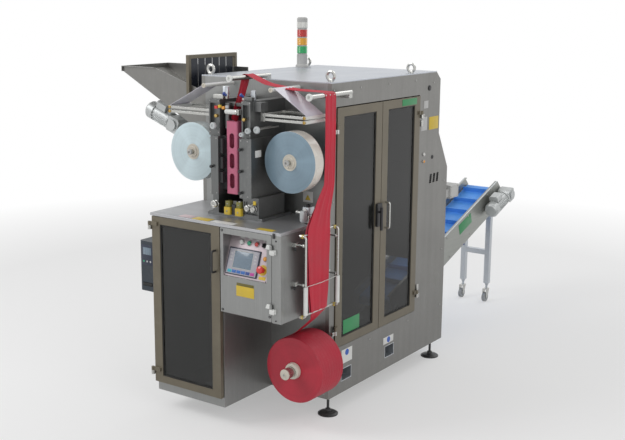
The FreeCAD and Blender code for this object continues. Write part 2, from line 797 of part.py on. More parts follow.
def side_door(name, front, back, axis_back, word):
    """One glazed side door between two formulas along Y, hung at axis_back."""
    thick = ("side_door_proud - side_door_thickness", "side_door_proud")
    tall = ("side_opening_bottom + side_door_gap", "side_opening_top - side_door_gap")
    slab = block(name + "Slab", thick, (front, back), tall)
    inner_y = (f"{front} + side_door_stile", f"{back} - side_door_stile")
    inner_z = (f"{tall[0]} + side_door_rail", f"{tall[1]} - side_door_rail")
    window = block(name + "Window", (f"{thick[0]} - 1", f"{thick[1]} + 1"), inner_y, inner_z)
    fixed = []
    moving = [cut(name + "Frame", slab, window)]
    toward_front = axis_back == "side_opening_front"
    for level, height in (("Low", "side_hinge_low"), ("High", "side_hinge_high")):
        pin = "side_opening_front - 6" if toward_front else "side_opening_back + 6"
        wall_leaf = (f"{pin} - 30", pin) if toward_front else (pin, f"{pin} + 30")
        door_leaf = (pin, f"{pin} + 34") if toward_front else (f"{pin} - 34", pin)
        still, swinging = hinge_halves(
            name + "Hinge" + level, "side_door_proud + 9", pin, height,
            (("0", "side_door_proud + 9"), wall_leaf),
            (("side_door_proud", "side_door_proud + 9"), door_leaf),
        )
        fixed.append(still)
        moving.append(swinging)
    sub_part(join(name, *moving), word + "_frame")
    middle = "side_door_proud - (side_door_thickness + door_glass) / 2"
    sub_part(block(name + "Pane", (middle, f"{middle} + door_glass"), inner_y, inner_z), word + "_glass")
    return fixed


def side_doors():
    """The two side doors and their handles. Returns their fixed hinge halves."""
    low = ("side_opening_front + side_door_gap", "side_door_split - side_door_gap / 2")
    high = ("side_door_split + side_door_gap / 2", "side_opening_back - side_door_gap")
    fixed = side_door("SideDoorFront", *low, "side_opening_front", "side_door_front")
    fixed += side_door("SideDoorRear", *high, "side_opening_back", "side_door_rear")
    face = "side_door_proud"
    lock = "side_door_split - latch_wide + 12"
    latch = block("LatchPlate", (face, f"{face} + 14"), ("side_door_split - latch_wide - 6", "side_door_split - 6"),
                  ("latch_low", "latch_low + latch_tall"))
    case = softened("LatchCase", latch, "Fillet", "6", runs_along("x"))
    top = "latch_low + latch_tall"
    lever = rod("LatchLever", "z", (f"{face} + lever_reach", lock, "latch_low - 20"), f"{top} - 20", "lever_radius")
    neck = rod("LatchNeck", "x", (face, lock, f"{top} - 50"), f"{face} + lever_reach", "lever_radius - 2")
    sub_part(join("SideDoorFrontHandle", case, lever, neck), "side_door_front_handle")
    grip = bow_handle("SideDoorGrip", face, "side_door_split + 52", "side_grip_low", "side_grip_tall",
                      FreeCAD.Rotation())
    sub_part(grip, "side_door_rear_handle")
    return fixed


def control_box():
    """The control box under the right of the table, with a fixed strip beside its door."""
    x = ("-cabinet_split", "box_sheet")
    y = ("control_door_thickness + 3 - front_depth", "0")
    z = ("box_bottom", "table_height - table_plate")
    shell = block("BoxShell", x, y, z)
    hollow = block("BoxHollow", (f"{x[0]} + box_sheet", f"{x[1]} - box_sheet"),
                   (f"{y[0]} - 1", f"{y[1]} - box_sheet"), (f"{z[0]} + box_sheet", f"{z[1]} - box_sheet"))
    strip = block("BoxStrip", ("-box_strip + 1", x[1]), ("-front_depth", f"{y[0]} + box_sheet"), z)
    sub_part(join("ControlBox", cut("BoxCut", shell, hollow), strip), "control_box")


def control_door():
    """The control box door with its sunk, sloped panel, hung on its right edge."""
    x = ("2 - cabinet_split", "-box_strip - 2")
    y = ("-front_depth", "control_door_thickness - front_depth")
    z = ("box_bottom + 3", "table_height - table_plate - 3")
    slab = block("ControlSlab", x, y, z)
    mouth = block("ControlMouth", ("-recess_left", "-recess_right"), (f"{y[0]} - 1", f"{y[1]} + 1"),
                  ("recess_bottom", "recess_top"))
    back = f"{y[1]} + recess_depth"
    outer = prism("RecessOuter", "YZ_Plane",
                  [(y[1], "recess_bottom - box_sheet"), (f"{back} + box_sheet", "recess_top + box_sheet"),
                   (y[1], "recess_top + box_sheet")],
                  "-recess_left - box_sheet", "box_sheet - recess_right")
    inner = prism("RecessInner", "YZ_Plane",
                  [(f"{y[0]} + 2", "recess_bottom"), (back, "recess_top"), (f"{y[0]} + 2", "recess_top")],
                  "-recess_left", "-recess_right")
    housing = join("ControlHousing", cut("ControlSlabCut", slab, mouth), outer)
    fixed = []
    moving = [cut("ControlRecess", housing, inner)]
    for name, height in (("Low", "control_hinge_low"), ("High", "control_hinge_high")):
        still, swinging = hinge_halves(
            "ControlHinge" + name, "-box_strip", "-front_depth - 9", height,
            (("-box_strip", "-box_strip + 30"), ("-front_depth - 9", "-front_depth")),
            (("-box_strip - 30", "-box_strip"), ("-front_depth - 9", "-front_depth")),
        )
        fixed.append(still)
        moving.append(swinging)
    sub_part(join("ControlDoor", *moving), "control_door")
    sub_part(join("ControlHinges", *fixed), "control_hinges")
    run = "(recess_depth + control_door_thickness - 2)"
    slope = math.degrees(math.atan2(value(run), value("recess_top - recess_bottom")))
    lean = FreeCAD.Rotation(X_AXIS, -slope)
    foot = ("-(recess_left + recess_right) / 2", f"{y[0]} + 2", "recess_bottom")
    bezel_x = ("-screen_width / 2 - 30", "screen_width / 2 - 30")
    bezel = block("ScreenBezel", bezel_x, ("-screen_deep", "-running_gap"), ("12", "12 + screen_tall"))
    framed = softened("ScreenFrame", bezel, "Chamfer", "4",
                      lambda edge: edge.CenterOfMass.y < 0.1 - value("screen_deep"))
    glass = block("ScreenGlass", (f"{bezel_x[0]} + 14", f"{bezel_x[1]} - 14"), ("-screen_deep - 2", "-screen_deep"),
                  ("40", "screen_tall"))
    facing = FreeCAD.Rotation(X_AXIS, 90)
    fittings = []
    for index in range(4):
        button = turned(f"Button{index}", [
            ("0", "0"), ("button_radius + 3", "0"), ("button_radius + 3", "4"), ("button_radius", "5"),
            ("button_radius", "13"), ("button_radius - 2", "15"), ("0", "15")])
        fittings.append(put(button, f"{index - 2} * button_pitch - 10", "-0.3", "204", facing))
    stop = turned("StopButton", [
        ("0", "0"), ("stop_radius * 1.5", "0"), ("stop_radius * 1.5", "3"), ("stop_radius * 0.6", "5"),
        ("stop_radius * 0.6", "15"), ("stop_radius", "18"), ("stop_radius * 0.9", "26"), ("stop_radius * 0.5", "30"),
        ("0", "30")])
    fittings.append(put(stop, "112", "-0.3", "60", facing))
    knob = rod("SelectorKnob", "y", ("112", "-12", "130"), "-0.3", "button_radius + 2")
    bar = block("SelectorBar", ("108", "116"), ("-20", "-12"), ("118", "142"))
    sub_part(join("ControlPanel", framed, glass, *fittings, knob, bar), "control_panel", *foot, turn=lean)


def levelling_feet():
    """Four feet: a turned pad with a ball boss, a stud up to the floor plate and a lock nut."""
    feet = []
    for side, x in (("Right", "-foot_inset"), ("Left", "foot_inset - body_width")):
        for end, y in (("Front", "foot_front"), ("Back", "foot_back")):
            foot = turned("Foot" + side + end, [
                ("0", "0"), ("foot_radius", "0"), ("foot_radius", "foot_pad / 2"),
                ("foot_radius * 0.8", "foot_pad"), ("foot_stud * 2.2", "foot_pad * 1.5"),
                ("foot_stud * 1.9", "foot_pad * 2.4"), ("foot_stud", "foot_pad * 2.7"),
                ("foot_stud", "ground_clearance - 14"), ("foot_stud * 2", "ground_clearance - 14"),
                ("foot_stud * 2", "ground_clearance"), ("0", "ground_clearance"),
            ])
            feet.append(put(foot, x, y, "0"))
    sub_part(join("Feet", *feet), "levelling_feet")


def lifting_eyes():
    """Four ring bolts on the roof: a flat-sided forged ring on a collar."""
    eyes = []
    for side, x, back in (("Right", "-eye_inset", "eye_back"), ("Left", "eye_inset - body_width", "eye_back_left")):
        for end, y in (("Front", "eye_front"), ("Back", back)):
            name = "Eye" + side + end
            collar = rod(name + "Collar", "z", (x, y, "roof_height"), "roof_height + 12", "eye_wire * 2")
            loop = turned(name + "Ring", [
                ("eye_ring - eye_wire", "-eye_wire / 2"), ("eye_ring", "-eye_wire"),
                ("eye_ring + eye_wire", "-eye_wire / 2"), ("eye_ring + eye_wire", "eye_wire / 2"),
                ("eye_ring", "eye_wire"), ("eye_ring - eye_wire", "eye_wire / 2")])
            put(loop, x, y, "roof_height + 8 + eye_ring", FreeCAD.Rotation(X_AXIS, 90))
            eyes.append(join(name, collar, loop))
    sub_part(join("Eyes", *eyes), "lifting_eyes")


def signal_tower():
    """The signal tower: a grey post and cap with four lenses between black rings."""
    place = ("tower_right", "tower_back", "roof_height")
    base = "tower_foot + tower_base"
    grey = [turned("TowerBase", [
        ("0", "0"), ("tower_radius * 1.25", "0"), ("tower_radius * 1.25", "tower_foot / 2"),
        ("tower_radius", "tower_foot"), ("tower_radius", base), ("0", base)])]
    step = "(tower_lens + tower_ring)"
    lenses = []
    for index in range(4):
        low = f"{base} + {index} * {step}"
        middle = f"{low} + tower_ring"
        grey.append(rod(f"TowerRing{index}", "z", ("0", "0", low), middle, "tower_radius - 3"))
        if index < 3:
            lenses.append(rod(f"Lens{index}", "z", ("0", "0", middle), f"{middle} + tower_lens", "tower_radius"))
    top = f"{base} + 4 * {step}"
    cap = turned("TowerCap", [
        ("0", "0"), ("tower_radius", "0"), ("tower_radius", "tower_lens + tower_cap - 8"),
        ("tower_radius - 8", "tower_lens + tower_cap"), ("0", "tower_lens + tower_cap")])
    grey.append(put(cap, "0", "0", f"{top} - tower_lens"))
    sub_part(join("SignalTower", *grey), "signal_tower", *place)
    sub_part(join("SignalLenses", *lenses), "signal_lenses", *place)


def chute_low(x):
    """Height of the chute's underside at a formula along X."""
    return f"(chute_tip_low - chute_fall * ({x} - chute_tip))"


def infeed_chute():
    """The sheet metal chute that brings the goods in from the left: two hemmed walls and a sloping floor."""
    mouth = "wall - body_width"
    low = [("chute_tip", "chute_tip_low"), (mouth, chute_low(mouth))]
    near_side = low + [(mouth, "chute_mouth_top"), ("chute_rim_end", "chute_rim"), ("chute_tip", "chute_rim")]
    shoulder = "0 - body_width - 1"
    far_side = low + [(mouth, "chute_mouth_top"), (shoulder, "chute_mouth_top"), (shoulder, "chute_rim"),
                      ("chute_tip", "chute_rim")]
    pieces = [prism("ChuteNear", "XZ_Plane", near_side, "chute_front", "chute_front + chute_sheet"),
              prism("ChuteFar", "XZ_Plane", far_side, "chute_back - chute_sheet", "chute_back")]
    floor = low + [(x, f"{z} + chute_sheet") for x, z in reversed(low)]
    pieces.append(prism("ChuteFloor", "XZ_Plane", floor, "chute_front", "chute_back"))
    hem = "chute_hem"
    for side, y in (("Near", (f"chute_front - {hem}", "chute_front")),
                    ("Far", ("chute_back", f"chute_back + {hem}"))):
        pieces.append(block("ChuteHem" + side, ("chute_tip", "chute_rim_end"), y,
                            ("chute_rim - chute_sheet", "chute_rim")))
    pieces.append(block("ChuteHemTip", ("chute_tip - chute_sheet", "chute_tip"),
                        (f"chute_front - {hem}", f"chute_back + {hem}"), ("chute_tip_low", "chute_rim")))
    sub_part(join("Chute", *pieces), "infeed_chute")


def chute_guard():
    """The frame across the chute, and the strips of its curtain."""
    x = ("guard_right - guard_bar", "guard_right")
    foot = "chute_mouth_top - 40"
    near = block("GuardNear", x, ("chute_front - guard_bar", "chute_front"), (foot, "guard_top"))
    far = block("GuardFar", x, ("chute_back", "chute_back + guard_bar"), (foot, "guard_top"))
    top = block("GuardTop", x, ("chute_front - guard_bar", "chute_back + guard_bar"),
                ("guard_top - guard_bar", "guard_top"))
    sub_part(join("Guard", near, far, top), "chute_guard")
    width = "((chute_back - chute_front - 2 * chute_sheet - strip_gap) / strip_count - strip_gap)"
    middle = "guard_right - guard_bar / 2"
    strips = []
    for index in range(int(SIZES["strip_count"])):
        start = f"chute_front + chute_sheet + strip_gap + {index} * ({width} + strip_gap)"
        strips.append(block(f"Strip{index}", (f"{middle} - strip_sheet / 2", f"{middle} + strip_sheet / 2"),
                            (start, f"{start} + {width}"), ("strip_bottom", "guard_top - guard_bar")))
    sub_part(join("Strips", *strips), "guard_strips")


def gearmotor(name, motor_long):
    """A finned motor along -X with its fan cowl and terminal box, from its gearbox flange at the origin."""
    radius = "motor_radius"
    cowl = f"({motor_long} - motor_cowl)"
    barrel = turned(name + "Barrel", [
        ("0", "0"), (f"{radius} * 0.95", "0"), (f"{radius} * 0.95", "12"), (f"{radius} * 0.86", "12"),
        (f"{radius} * 0.86", cowl), (radius, cowl), (radius, f"{motor_long} - 14"),
        (f"{radius} * 0.8", motor_long), ("0", motor_long),
    ])
    fin = barrel.newObject("PartDesign::Pad", name + "Fin")
    fin.Profile = outline(barrel, name + "FinOutline", "XY_Plane", [
        (f"{radius} * 0.8", "-fin_sheet / 2"), (radius, "-fin_sheet / 2"),
        (radius, "fin_sheet / 2"), (f"{radius} * 0.8", "fin_sheet / 2")])
    fin.setExpression("Length", formula(cowl))
    fins = barrel.newObject("PartDesign::PolarPattern", name + "Fins")
    fins.Originals = [fin]
    fins.Axis = (fin.Profile[0], ["N_Axis"])
    fins.Angle = 360
    fins.setExpression("Occurrences", formula("fin_count"))
    barrel.Tip = fins
    put(barrel, "0", "0", "0", FreeCAD.Rotation(Y_AXIS, -90))
    base = f"{radius} * 0.7"
    top = f"{radius} + terminal_tall"
    terminals = prism(name + "Terminals", "YZ_Plane", [
        ("-terminal_wide / 2", base), ("terminal_wide / 2", base), ("terminal_wide / 2", f"{top} - 10"),
        ("terminal_wide / 2 - 10", top), ("10 - terminal_wide / 2", top), ("-terminal_wide / 2", f"{top} - 10"),
    ], f"70 - {motor_long}", f"70 + terminal_long - {motor_long}")
    return join(name, barrel, terminals)


def gearbox(name, size):
    """A worm gearbox: a cast case with cut corners, its output boss and its motor flange at the origin."""
    cast = block(name + "Cast", ("6", f"6 + {size}"), (f"-{size} / 2", f"{size} / 2"), (f"-{size} / 2", f"{size} / 2"))
    case = softened(name + "Case", cast, "Chamfer", "gearbox_chamfer", runs_along("y"))
    flange = rod(name + "Flange", "x", ("0", "0", "0"), "8", f"{size} * 0.56")
    boss = rod(name + "Boss", "y", (f"6 + {size} / 2", f"-{size} / 2 - boss_tall", "0"), f"{size} / 2 + boss_tall",
               f"{size} * 0.36")
    return join(name, case, flange, boss)


def chute_drive():
    """The gearmotor under the chute, hung from a bracket on the chute's floor."""
    tilt = FreeCAD.Rotation(Y_AXIS, SIZES["chute_motor_tilt"])
    place = ("chute_drive_right", "chute_drive_back", "chute_drive_height")
    pieces = (gearmotor("ChuteMotor", "chute_motor_long"), gearbox("ChuteGearbox", "gearbox_size"))
    drive = join("ChuteDrive", *pieces)
    put(drive, *place, turn=tilt)
    left = "chute_drive_right + 30"
    right = "chute_drive_right + 80"
    bracket = prism("DriveBracket", "XZ_Plane", [
        (left, "chute_drive_height - 20"), (right, "chute_drive_height - 30"),
        (right, chute_low(right)), (left, chute_low(left)),
    ], "chute_drive_back + gearbox_size / 2 + boss_tall", "chute_drive_back + gearbox_size / 2 + boss_tall + 6")
    sub_part(join("ChuteDriveHung", drive, bracket), "chute_drive")


def label_printer():
    """The label printer on the cabinet's left side: a rounded case with a sunk door, on a bracket."""
    wall_side = "cabinet_inset - body_width"
    left = f"{wall_side} - printer_wide - 8"
    case = block("PrinterCase", (left, f"{wall_side} - 8"), ("printer_front", "printer_front + printer_deep"),
                 ("printer_bottom", "printer_bottom + printer_tall"))
    rounded = softened("PrinterRounded", case, "Fillet", "printer_corner", runs_along("z"))
    door = block("PrinterDoor", (f"{left} - 1", f"{left} + 5"),
                 ("printer_front + 24", "printer_front + printer_deep - 24"),
                 ("printer_bottom + 60", "printer_bottom + printer_tall - 24"))
    mouth = block("PrinterMouth", (f"{left} + 24", f"{wall_side} - 32"), ("printer_front - 1", "printer_front + 14"),
                  ("printer_bottom + 30", "printer_bottom + 52"))
    bracket = block("PrinterBracket", (f"{wall_side} - 8", wall_side), ("printer_front + 40", "printer_front + 200"),
                    ("printer_bottom + 40", "printer_bottom + 240"))
    sub_part(join("Printer", cut("PrinterBody", rounded, door, mouth), bracket), "label_printer")


def film_reel(side, x):
    """A roll of film on its hub, which turns on a spindle."""
    y = ("-film_face", "film_width - film_face")
    roll = rod("FilmRoll" + side, "y", (x, y[0], "film_height"), y[1], "film_radius")
    core = rod("FilmRollCore" + side, "y", (x, f"{y[0]} - 1", "film_height"), f"{y[1]} + 1", "film_bore")
    wound = cut("FilmWound" + side, roll, core)
    hub = rod("FilmHubDrum" + side, "y", (x, y[0], "film_height"), y[1], "film_bore")
    disc = put(turned("FilmHubDisc" + side, [
        ("0", "0"), ("film_bore + 6", "0"), ("film_bore + 6", "3"), ("film_bore - 4", "5"), ("film_bore - 10", "12"),
        ("0", "12")]), x, y[0], "film_height", FreeCAD.Rotation(X_AXIS, 90))
    hole = rod("FilmHubHole" + side, "y", (x, f"{y[0]} - 13", "film_height"), f"{y[1]} + 1",
               "spindle_radius + running_gap")
    carrier = cut("FilmHub" + side, join("FilmHubBody" + side, hub, disc), hole)
    sub_part(join("FilmReel" + side, wound, carrier), "film_reel_" + side.lower())


def film_unwind():
    """Reels, spindles, guide arms and guide rollers of both film sides."""
    steel = []
    rollers = []
    for side, x, pivot, end, top in (
        ("Left", "film_left", "guide_pivot_left", "guide_left", "top_roller_left"),
        ("Right", "film_right", "guide_pivot_right", "guide_right", "top_roller_right"),
    ):
        film_reel(side, x)
        shaft = rod("Spindle" + side, "y", (x, "-film_face - 26", "film_height"), "0", "spindle_radius")
        collar = rod("SpindleCollar" + side, "y", (x, "film_width - film_face + 2", "film_height"), "0",
                     "spindle_radius * 1.8")
        steel += [shaft, collar]
        pivot_rod = rod("GuidePivot" + side, "y", (pivot, "-film_face - 8", "guide_height"), "0", "8")
        low, high = (end, pivot) if side == "Left" else (pivot, end)
        for place, y in (("Near", "-film_face - 6"), ("Far", "-guide_back")):
            steel.append(block(f"GuidePlate{side}{place}", (f"{pivot} - 14", f"{pivot} + 14"), (y, f"{y} + guide_bar"),
                               ("guide_height - guide_drop - 12", "guide_height + 12")))
            for level, drop in (("Upper", "0"), ("Lower", "guide_drop")):
                z = f"guide_height - {drop}"
                steel.append(block(f"Guide{side}{place}{level}", (f"{low}", f"{high}"), (y, f"{y} + guide_bar"),
                                   (f"{z} - guide_bar_tall / 2", f"{z} + guide_bar_tall / 2")))
        steel.append(pivot_rod)
        for level, drop in (("Upper", "0"), ("Lower", "guide_drop")):
            rollers.append(rod(f"GuideRoller{side}{level}", "y",
                               (end, "guide_bar - film_face - 6", f"guide_height - {drop}"), "-guide_back",
                               "guide_roller"))
        rollers.append(rod("TopRoller" + side, "y", (top, "-film_face - 10", "top_roller_height"), "0",
                           "guide_roller"))
    sub_part(join("FilmSteel", *steel), "film_guide_arms")
    sub_part(join("FilmRollers", *rollers), "film_guide_rollers")


def film_strip(name, roller, guide, sign):
    """A flat stretch of film that lies on a top roller and a guide roller, both given by their X place."""
    drop = "(top_roller_height - guide_height)"
    run = f"({guide} - {roller})"
    span = f"sqrt({run}^2 + {drop}^2)"
    corners = []
    for x, z, lift in (
        (roller, "top_roller_height", "running_gap"), (guide, "guide_height", "running_gap"),
        (guide, "guide_height", "(running_gap + web_sheet)"),
        (roller, "top_roller_height", "(running_gap + web_sheet)"),
    ):
        reach = f"(guide_roller + {lift})"
        corners.append((f"{x} + {sign} * {reach} * {drop} / {span}", f"{z} + {sign} * {reach} * {run} / {span}"))
    return prism(name, "XZ_Plane", corners, "6 - film_face", "-guide_back - 14")


def film_webs():
    """The film between the guide rollers and the top rollers, on both sides."""
    right = film_strip("WebRight", "top_roller_right", "guide_right", "1")
    left = film_strip("WebLeft", "top_roller_left", "guide_left", "-1")
    sub_part(join("FilmWebs", right, left), "film_webs")


def jaw(side, low, high, outer):
    """One heated jaw's housing: a sheet box whose outer front edge is cut off."""
    front = "-jaw_face"
    corners = [(low, "0"), (low, front), (high, front), (high, "0")]
    if outer == "high":
        corners[2:3] = [(f"{high} - jaw_chamfer", front), (high, f"{front} + jaw_chamfer")]
    else:
        corners[1:2] = [(low, f"{front} + jaw_chamfer"), (f"{low} + jaw_chamfer", front)]
    return prism("Jaw" + side, "XY_Plane", corners, "jaw_bottom", "jaw_top")


def fill_tube():
    """The square tube that the net is gathered on, with rounded slots in its front."""
    x = ("head_centre - tube_wide / 2", "head_centre + tube_wide / 2")
    outer = block("FillTubeOuter", x, ("-tube_face", "tube_deep - tube_face"), ("tube_bottom", "tube_top"))
    rounded = softened("FillTubeRounded", outer, "Fillet", "tube_corner", runs_along("z"))
    hollow = block("FillTubeHollow", (f"{x[0]} + tube_wall", f"{x[1]} - tube_wall"),
                   ("tube_wall - tube_face", "tube_deep - tube_wall - tube_face"), ("tube_bottom - 1", "tube_top + 1"))
    slots = []
    for index in range(3):
        z = f"tube_bottom + slot_lift + {index} * slot_pitch"
        slots.append(block(f"TubeSlot{index}", ("head_centre - slot_wide / 2", "head_centre + slot_wide / 2"),
                           ("-tube_face - 1", "tube_wall - tube_face + 1"), (z, f"{z} + slot_tall - slot_wide")))
        for end, height in (("Low", z), ("High", f"{z} + slot_tall - slot_wide")):
            slots.append(rod(f"TubeSlot{index}{end}", "y", ("head_centre", "-tube_face - 1", height),
                             "tube_wall - tube_face + 1", "slot_wide / 2"))
    bracket = block("TubeBracket", x, ("tube_deep - tube_face", "0"), ("tube_top - 70", "tube_top - 40"))
    sub_part(join("FillTube", cut("FillTubeCut", rounded, hollow, *slots), bracket), "fill_tube")


def forming_head():
    """The forming head: jaw housings, the frame over them, its cylinder and knobs, and the actuator."""
    plates = [jaw("Left", "jaw_left_low", "jaw_left_high", "low"),
              jaw("Right", "jaw_right_low", "jaw_right_high", "high")]
    face = "head_inset - jaw_face"
    for side, low, high in (("Left", "jaw_left_low - 20", "jaw_left_high - 10"),
                            ("Right", "jaw_right_low - 6", "jaw_right_high - 16")):
        outer = block("HeadHousing" + side, (low, high), (face, "0"), ("jaw_top", "head_plate_top"))
        slot = block("HeadChannel" + side, (f"{low} + 8", f"{high} - 8"), (f"{face} - 1", f"{face} + 22"),
                     ("jaw_top + 34", "head_plate_top - 20"))
        plates.append(cut("HeadFrame" + side, outer, slot))
    cylinder = rod("HeadCylinder", "z", ("jaw_left_high + 16", f"{face} + 40", "jaw_top + 40"),
                   "head_plate_top - 18", "head_cylinder")
    behind = "tube_deep - tube_face + 4"
    for name, z in (("Low", "jaw_top + 60"), ("High", "head_plate_top - 36")):
        plates.append(block("HeadBridge" + name, ("jaw_left_high - 12", "jaw_right_low - 4"),
                            (behind, f"{behind} + 54"), (z, f"{z} + 18")))
    side_block = block("HeadSideBlock", ("jaw_right_high - 17", "jaw_right_high + 34"), (f"{face} + 30", f"{face} + 90"),
                       ("head_plate_top - 54", "head_plate_top - 4"))
    sub_part(join("JawHousings", *plates, cylinder, side_block), "jaw_housings")

    left, right = "jaw_left_low + 26", "jaw_right_low + 12"
    knobs = []
    for word, x, rise in (("Left", left, "knob_lift + 130"), ("RightLow", right, "knob_lift"),
                          ("RightMiddle", right, "knob_lift + 120"), ("RightHigh", right, "knob_lift + 240")):
        knob = turned("JawKnob" + word, [
            ("0", "0"), ("knob_radius * 0.6", "0"), ("knob_radius * 0.6", "5"), ("knob_radius", "8"),
            ("knob_radius", "17"), ("knob_radius * 0.7", "20"), ("0", "20")])
        knobs.append(put(knob, x, "-jaw_face", f"jaw_bottom + {rise}", FreeCAD.Rotation(X_AXIS, 90)))
    sub_part(join("JawKnobs", *knobs), "jaw_knobs")

    x = ("jaw_left_high", "head_centre - tube_wide / 2 - 6")
    column = block("ActuatorColumn", x, ("actuator_inset - jaw_face", "0"), ("jaw_bottom + 30", "jaw_top"))
    steps = [block(f"ActuatorBlock{index}", (x[0], f"{x[1]} - 6"), ("12 - jaw_face", "actuator_inset - jaw_face"),
                   (f"jaw_bottom + {low}", f"jaw_bottom + {high}")) for index, (low, high) in enumerate(
                       ((70, 130), (150, 215), (235, 318)))]
    sub_part(join("SealingActuator", column, *steps), "sealing_actuator")


def closing_unit():
    """The pull and closing unit between the jaws and the table: two cheeks, anvils, pull wheels and a valve."""
    table = "table_height"
    left = "(head_centre - closing_left)"
    right = "(head_centre + closing_right)"
    face = "-closing_deep"
    back = "-closing_stand"
    floor = f"{table} + closing_base"
    base = block("ClosingBase", (left, right), (face, "-closing_base_stand"), (table, floor))
    cheek_x = f"{left} + cheek_inset"
    cheek = block("ClosingLeft", (cheek_x, f"{cheek_x} + cheek_wide"), (face, back), (floor, "jaw_bottom"))
    case_x = (f"{right} - case_inset - case_wide", f"{right} - case_inset")
    case = block("ClosingRight", case_x, (face, back), (floor, "jaw_bottom"))
    pocket = block("ClosingPocket", (f"{case_x[0]} + case_wall", f"{case_x[1]} - case_wall"),
                   (f"{face} - 1", f"{face} + case_pocket"), (f"{floor} + case_lip_low", "jaw_bottom - case_lip_high"))
    post = rod("ClosingPost", "z", ("head_centre + closing_post_offset", f"{face} + 2 * closing_post", floor),
               "jaw_bottom - closing_post_drop", "closing_post")
    middle = block("ClosingMiddle", ("head_centre - closing_middle / 2", "head_centre + closing_middle / 2"),
                   (f"{face} + anvil_step_front", back), (floor, "jaw_bottom - closing_middle_drop"))
    sub_part(join("ClosingUnit", base, cheek, cut("ClosingCase", case, pocket), post, middle), "closing_unit")
    anvils = []
    lower_y = (f"{face} - anvil_proud", f"{face} - anvil_proud + anvil_deep")
    for side, low, high in (("Left", "-anvil_gap - anvil_wide", "-anvil_gap"),
                            ("Right", "anvil_gap", "(anvil_gap + anvil_wide)")):
        x = (f"head_centre + {low}", f"head_centre + {high}")
        lower = block("Anvil" + side, x, lower_y, (floor, f"{floor} + anvil_tall"))
        upper = block("AnvilHead" + side, (f"{x[0]} + anvil_step", f"{x[1]} - anvil_step"),
                      (f"{lower_y[0]} + anvil_step_front", f"{lower_y[1]} - anvil_step_back"),
                      (f"{floor} + anvil_tall", f"{floor} + anvil_tall + anvil_head"))
        anvils.append(join("AnvilPair" + side, lower, upper))
    wheels = []
    groove = "pull_rim + pull_slope"
    rim_back = f"{groove} + pull_groove + pull_slope"
    for word, x, depth, radius in (
        ("Left", f"{left} + pull_wheel_inset", face, "pull_wheel"),
        ("RightLow", f"{right} - small_wheel_low", f"{face} + case_pocket", "pull_wheel * 0.8"),
        ("RightHigh", f"{right} - small_wheel_high", f"{face} + case_pocket", "pull_wheel * 0.8"),
    ):
        wheel = turned("PullWheel" + word, [
            ("0", "0"), (radius, "0"), (radius, "pull_rim"), (f"{radius} - pull_groove_deep", groove),
            (f"{radius} - pull_groove_deep", f"{groove} + pull_groove"), (radius, rim_back),
            (radius, f"{rim_back} + pull_back_rim"), (f"{radius} * 0.5", f"{rim_back} + pull_back_rim * 1.5"),
            ("0", f"{rim_back} + pull_back_rim * 1.5")])
        wheels.append(put(wheel, x, depth, f"{floor} + pull_wheel_rise", FreeCAD.Rotation(X_AXIS, 90)))
    valve_x = ("-valve_inset - valve_wide", "-valve_inset")
    valve_y = ("-valve_stand - valve_deep", "-valve_stand")
    valve = block("Valve", valve_x, valve_y, (table, f"{table} + valve_tall"))
    bowl = rod("ValveBowl", "z", (f"{valve_x[1]} - valve_wide / 2", f"{valve_y[0]} - bowl_offset",
                                  f"{table} + bowl_lift"), f"{table} + bowl_lift + bowl_tall", "bowl_radius")
    plug = rod("ValvePort", "x", (f"{valve_x[0]} - port_long", f"{valve_y[1]} - valve_deep / 2",
                                  f"{table} + port_rise"), valve_x[0], "port_radius")
    sub_part(join("ClosingFittings", *anvils, *wheels, join("ValveSet", valve, bowl, plug)), "closing_fittings")


def net_reel():
    """The reel of net on its hub and spindle at the foot of the machine."""
    roll = rod("NetRollSolid", "y", ("net_right", "net_front", "net_height"), "net_back", "net_radius")
    core = rod("NetRollCore", "y", ("net_right", "net_front - 1", "net_height"), "net_back + 1", "net_bore")
    wound = cut("NetRoll", roll, core)
    hub = rod("NetHubSolid", "y", ("net_right", "net_front - 24", "net_height"), "net_back + 20", "net_bore")
    hole = rod("NetHubHole", "y", ("net_right", "net_front - 25", "net_height"), "net_back + 21",
               "net_spindle + running_gap")
    sub_part(join("NetReel", wound, cut("NetHub", hub, hole)), "net_reel")
    shaft = rod("NetShaft", "y", ("net_right", "net_spindle_end", "net_height"), "0", "net_spindle")
    flange = rod("NetFlange", "y", ("net_right", "-8", "net_height"), "0", "net_spindle * 1.9")
    sub_part(join("NetSpindle", shaft, flange), "net_spindle")


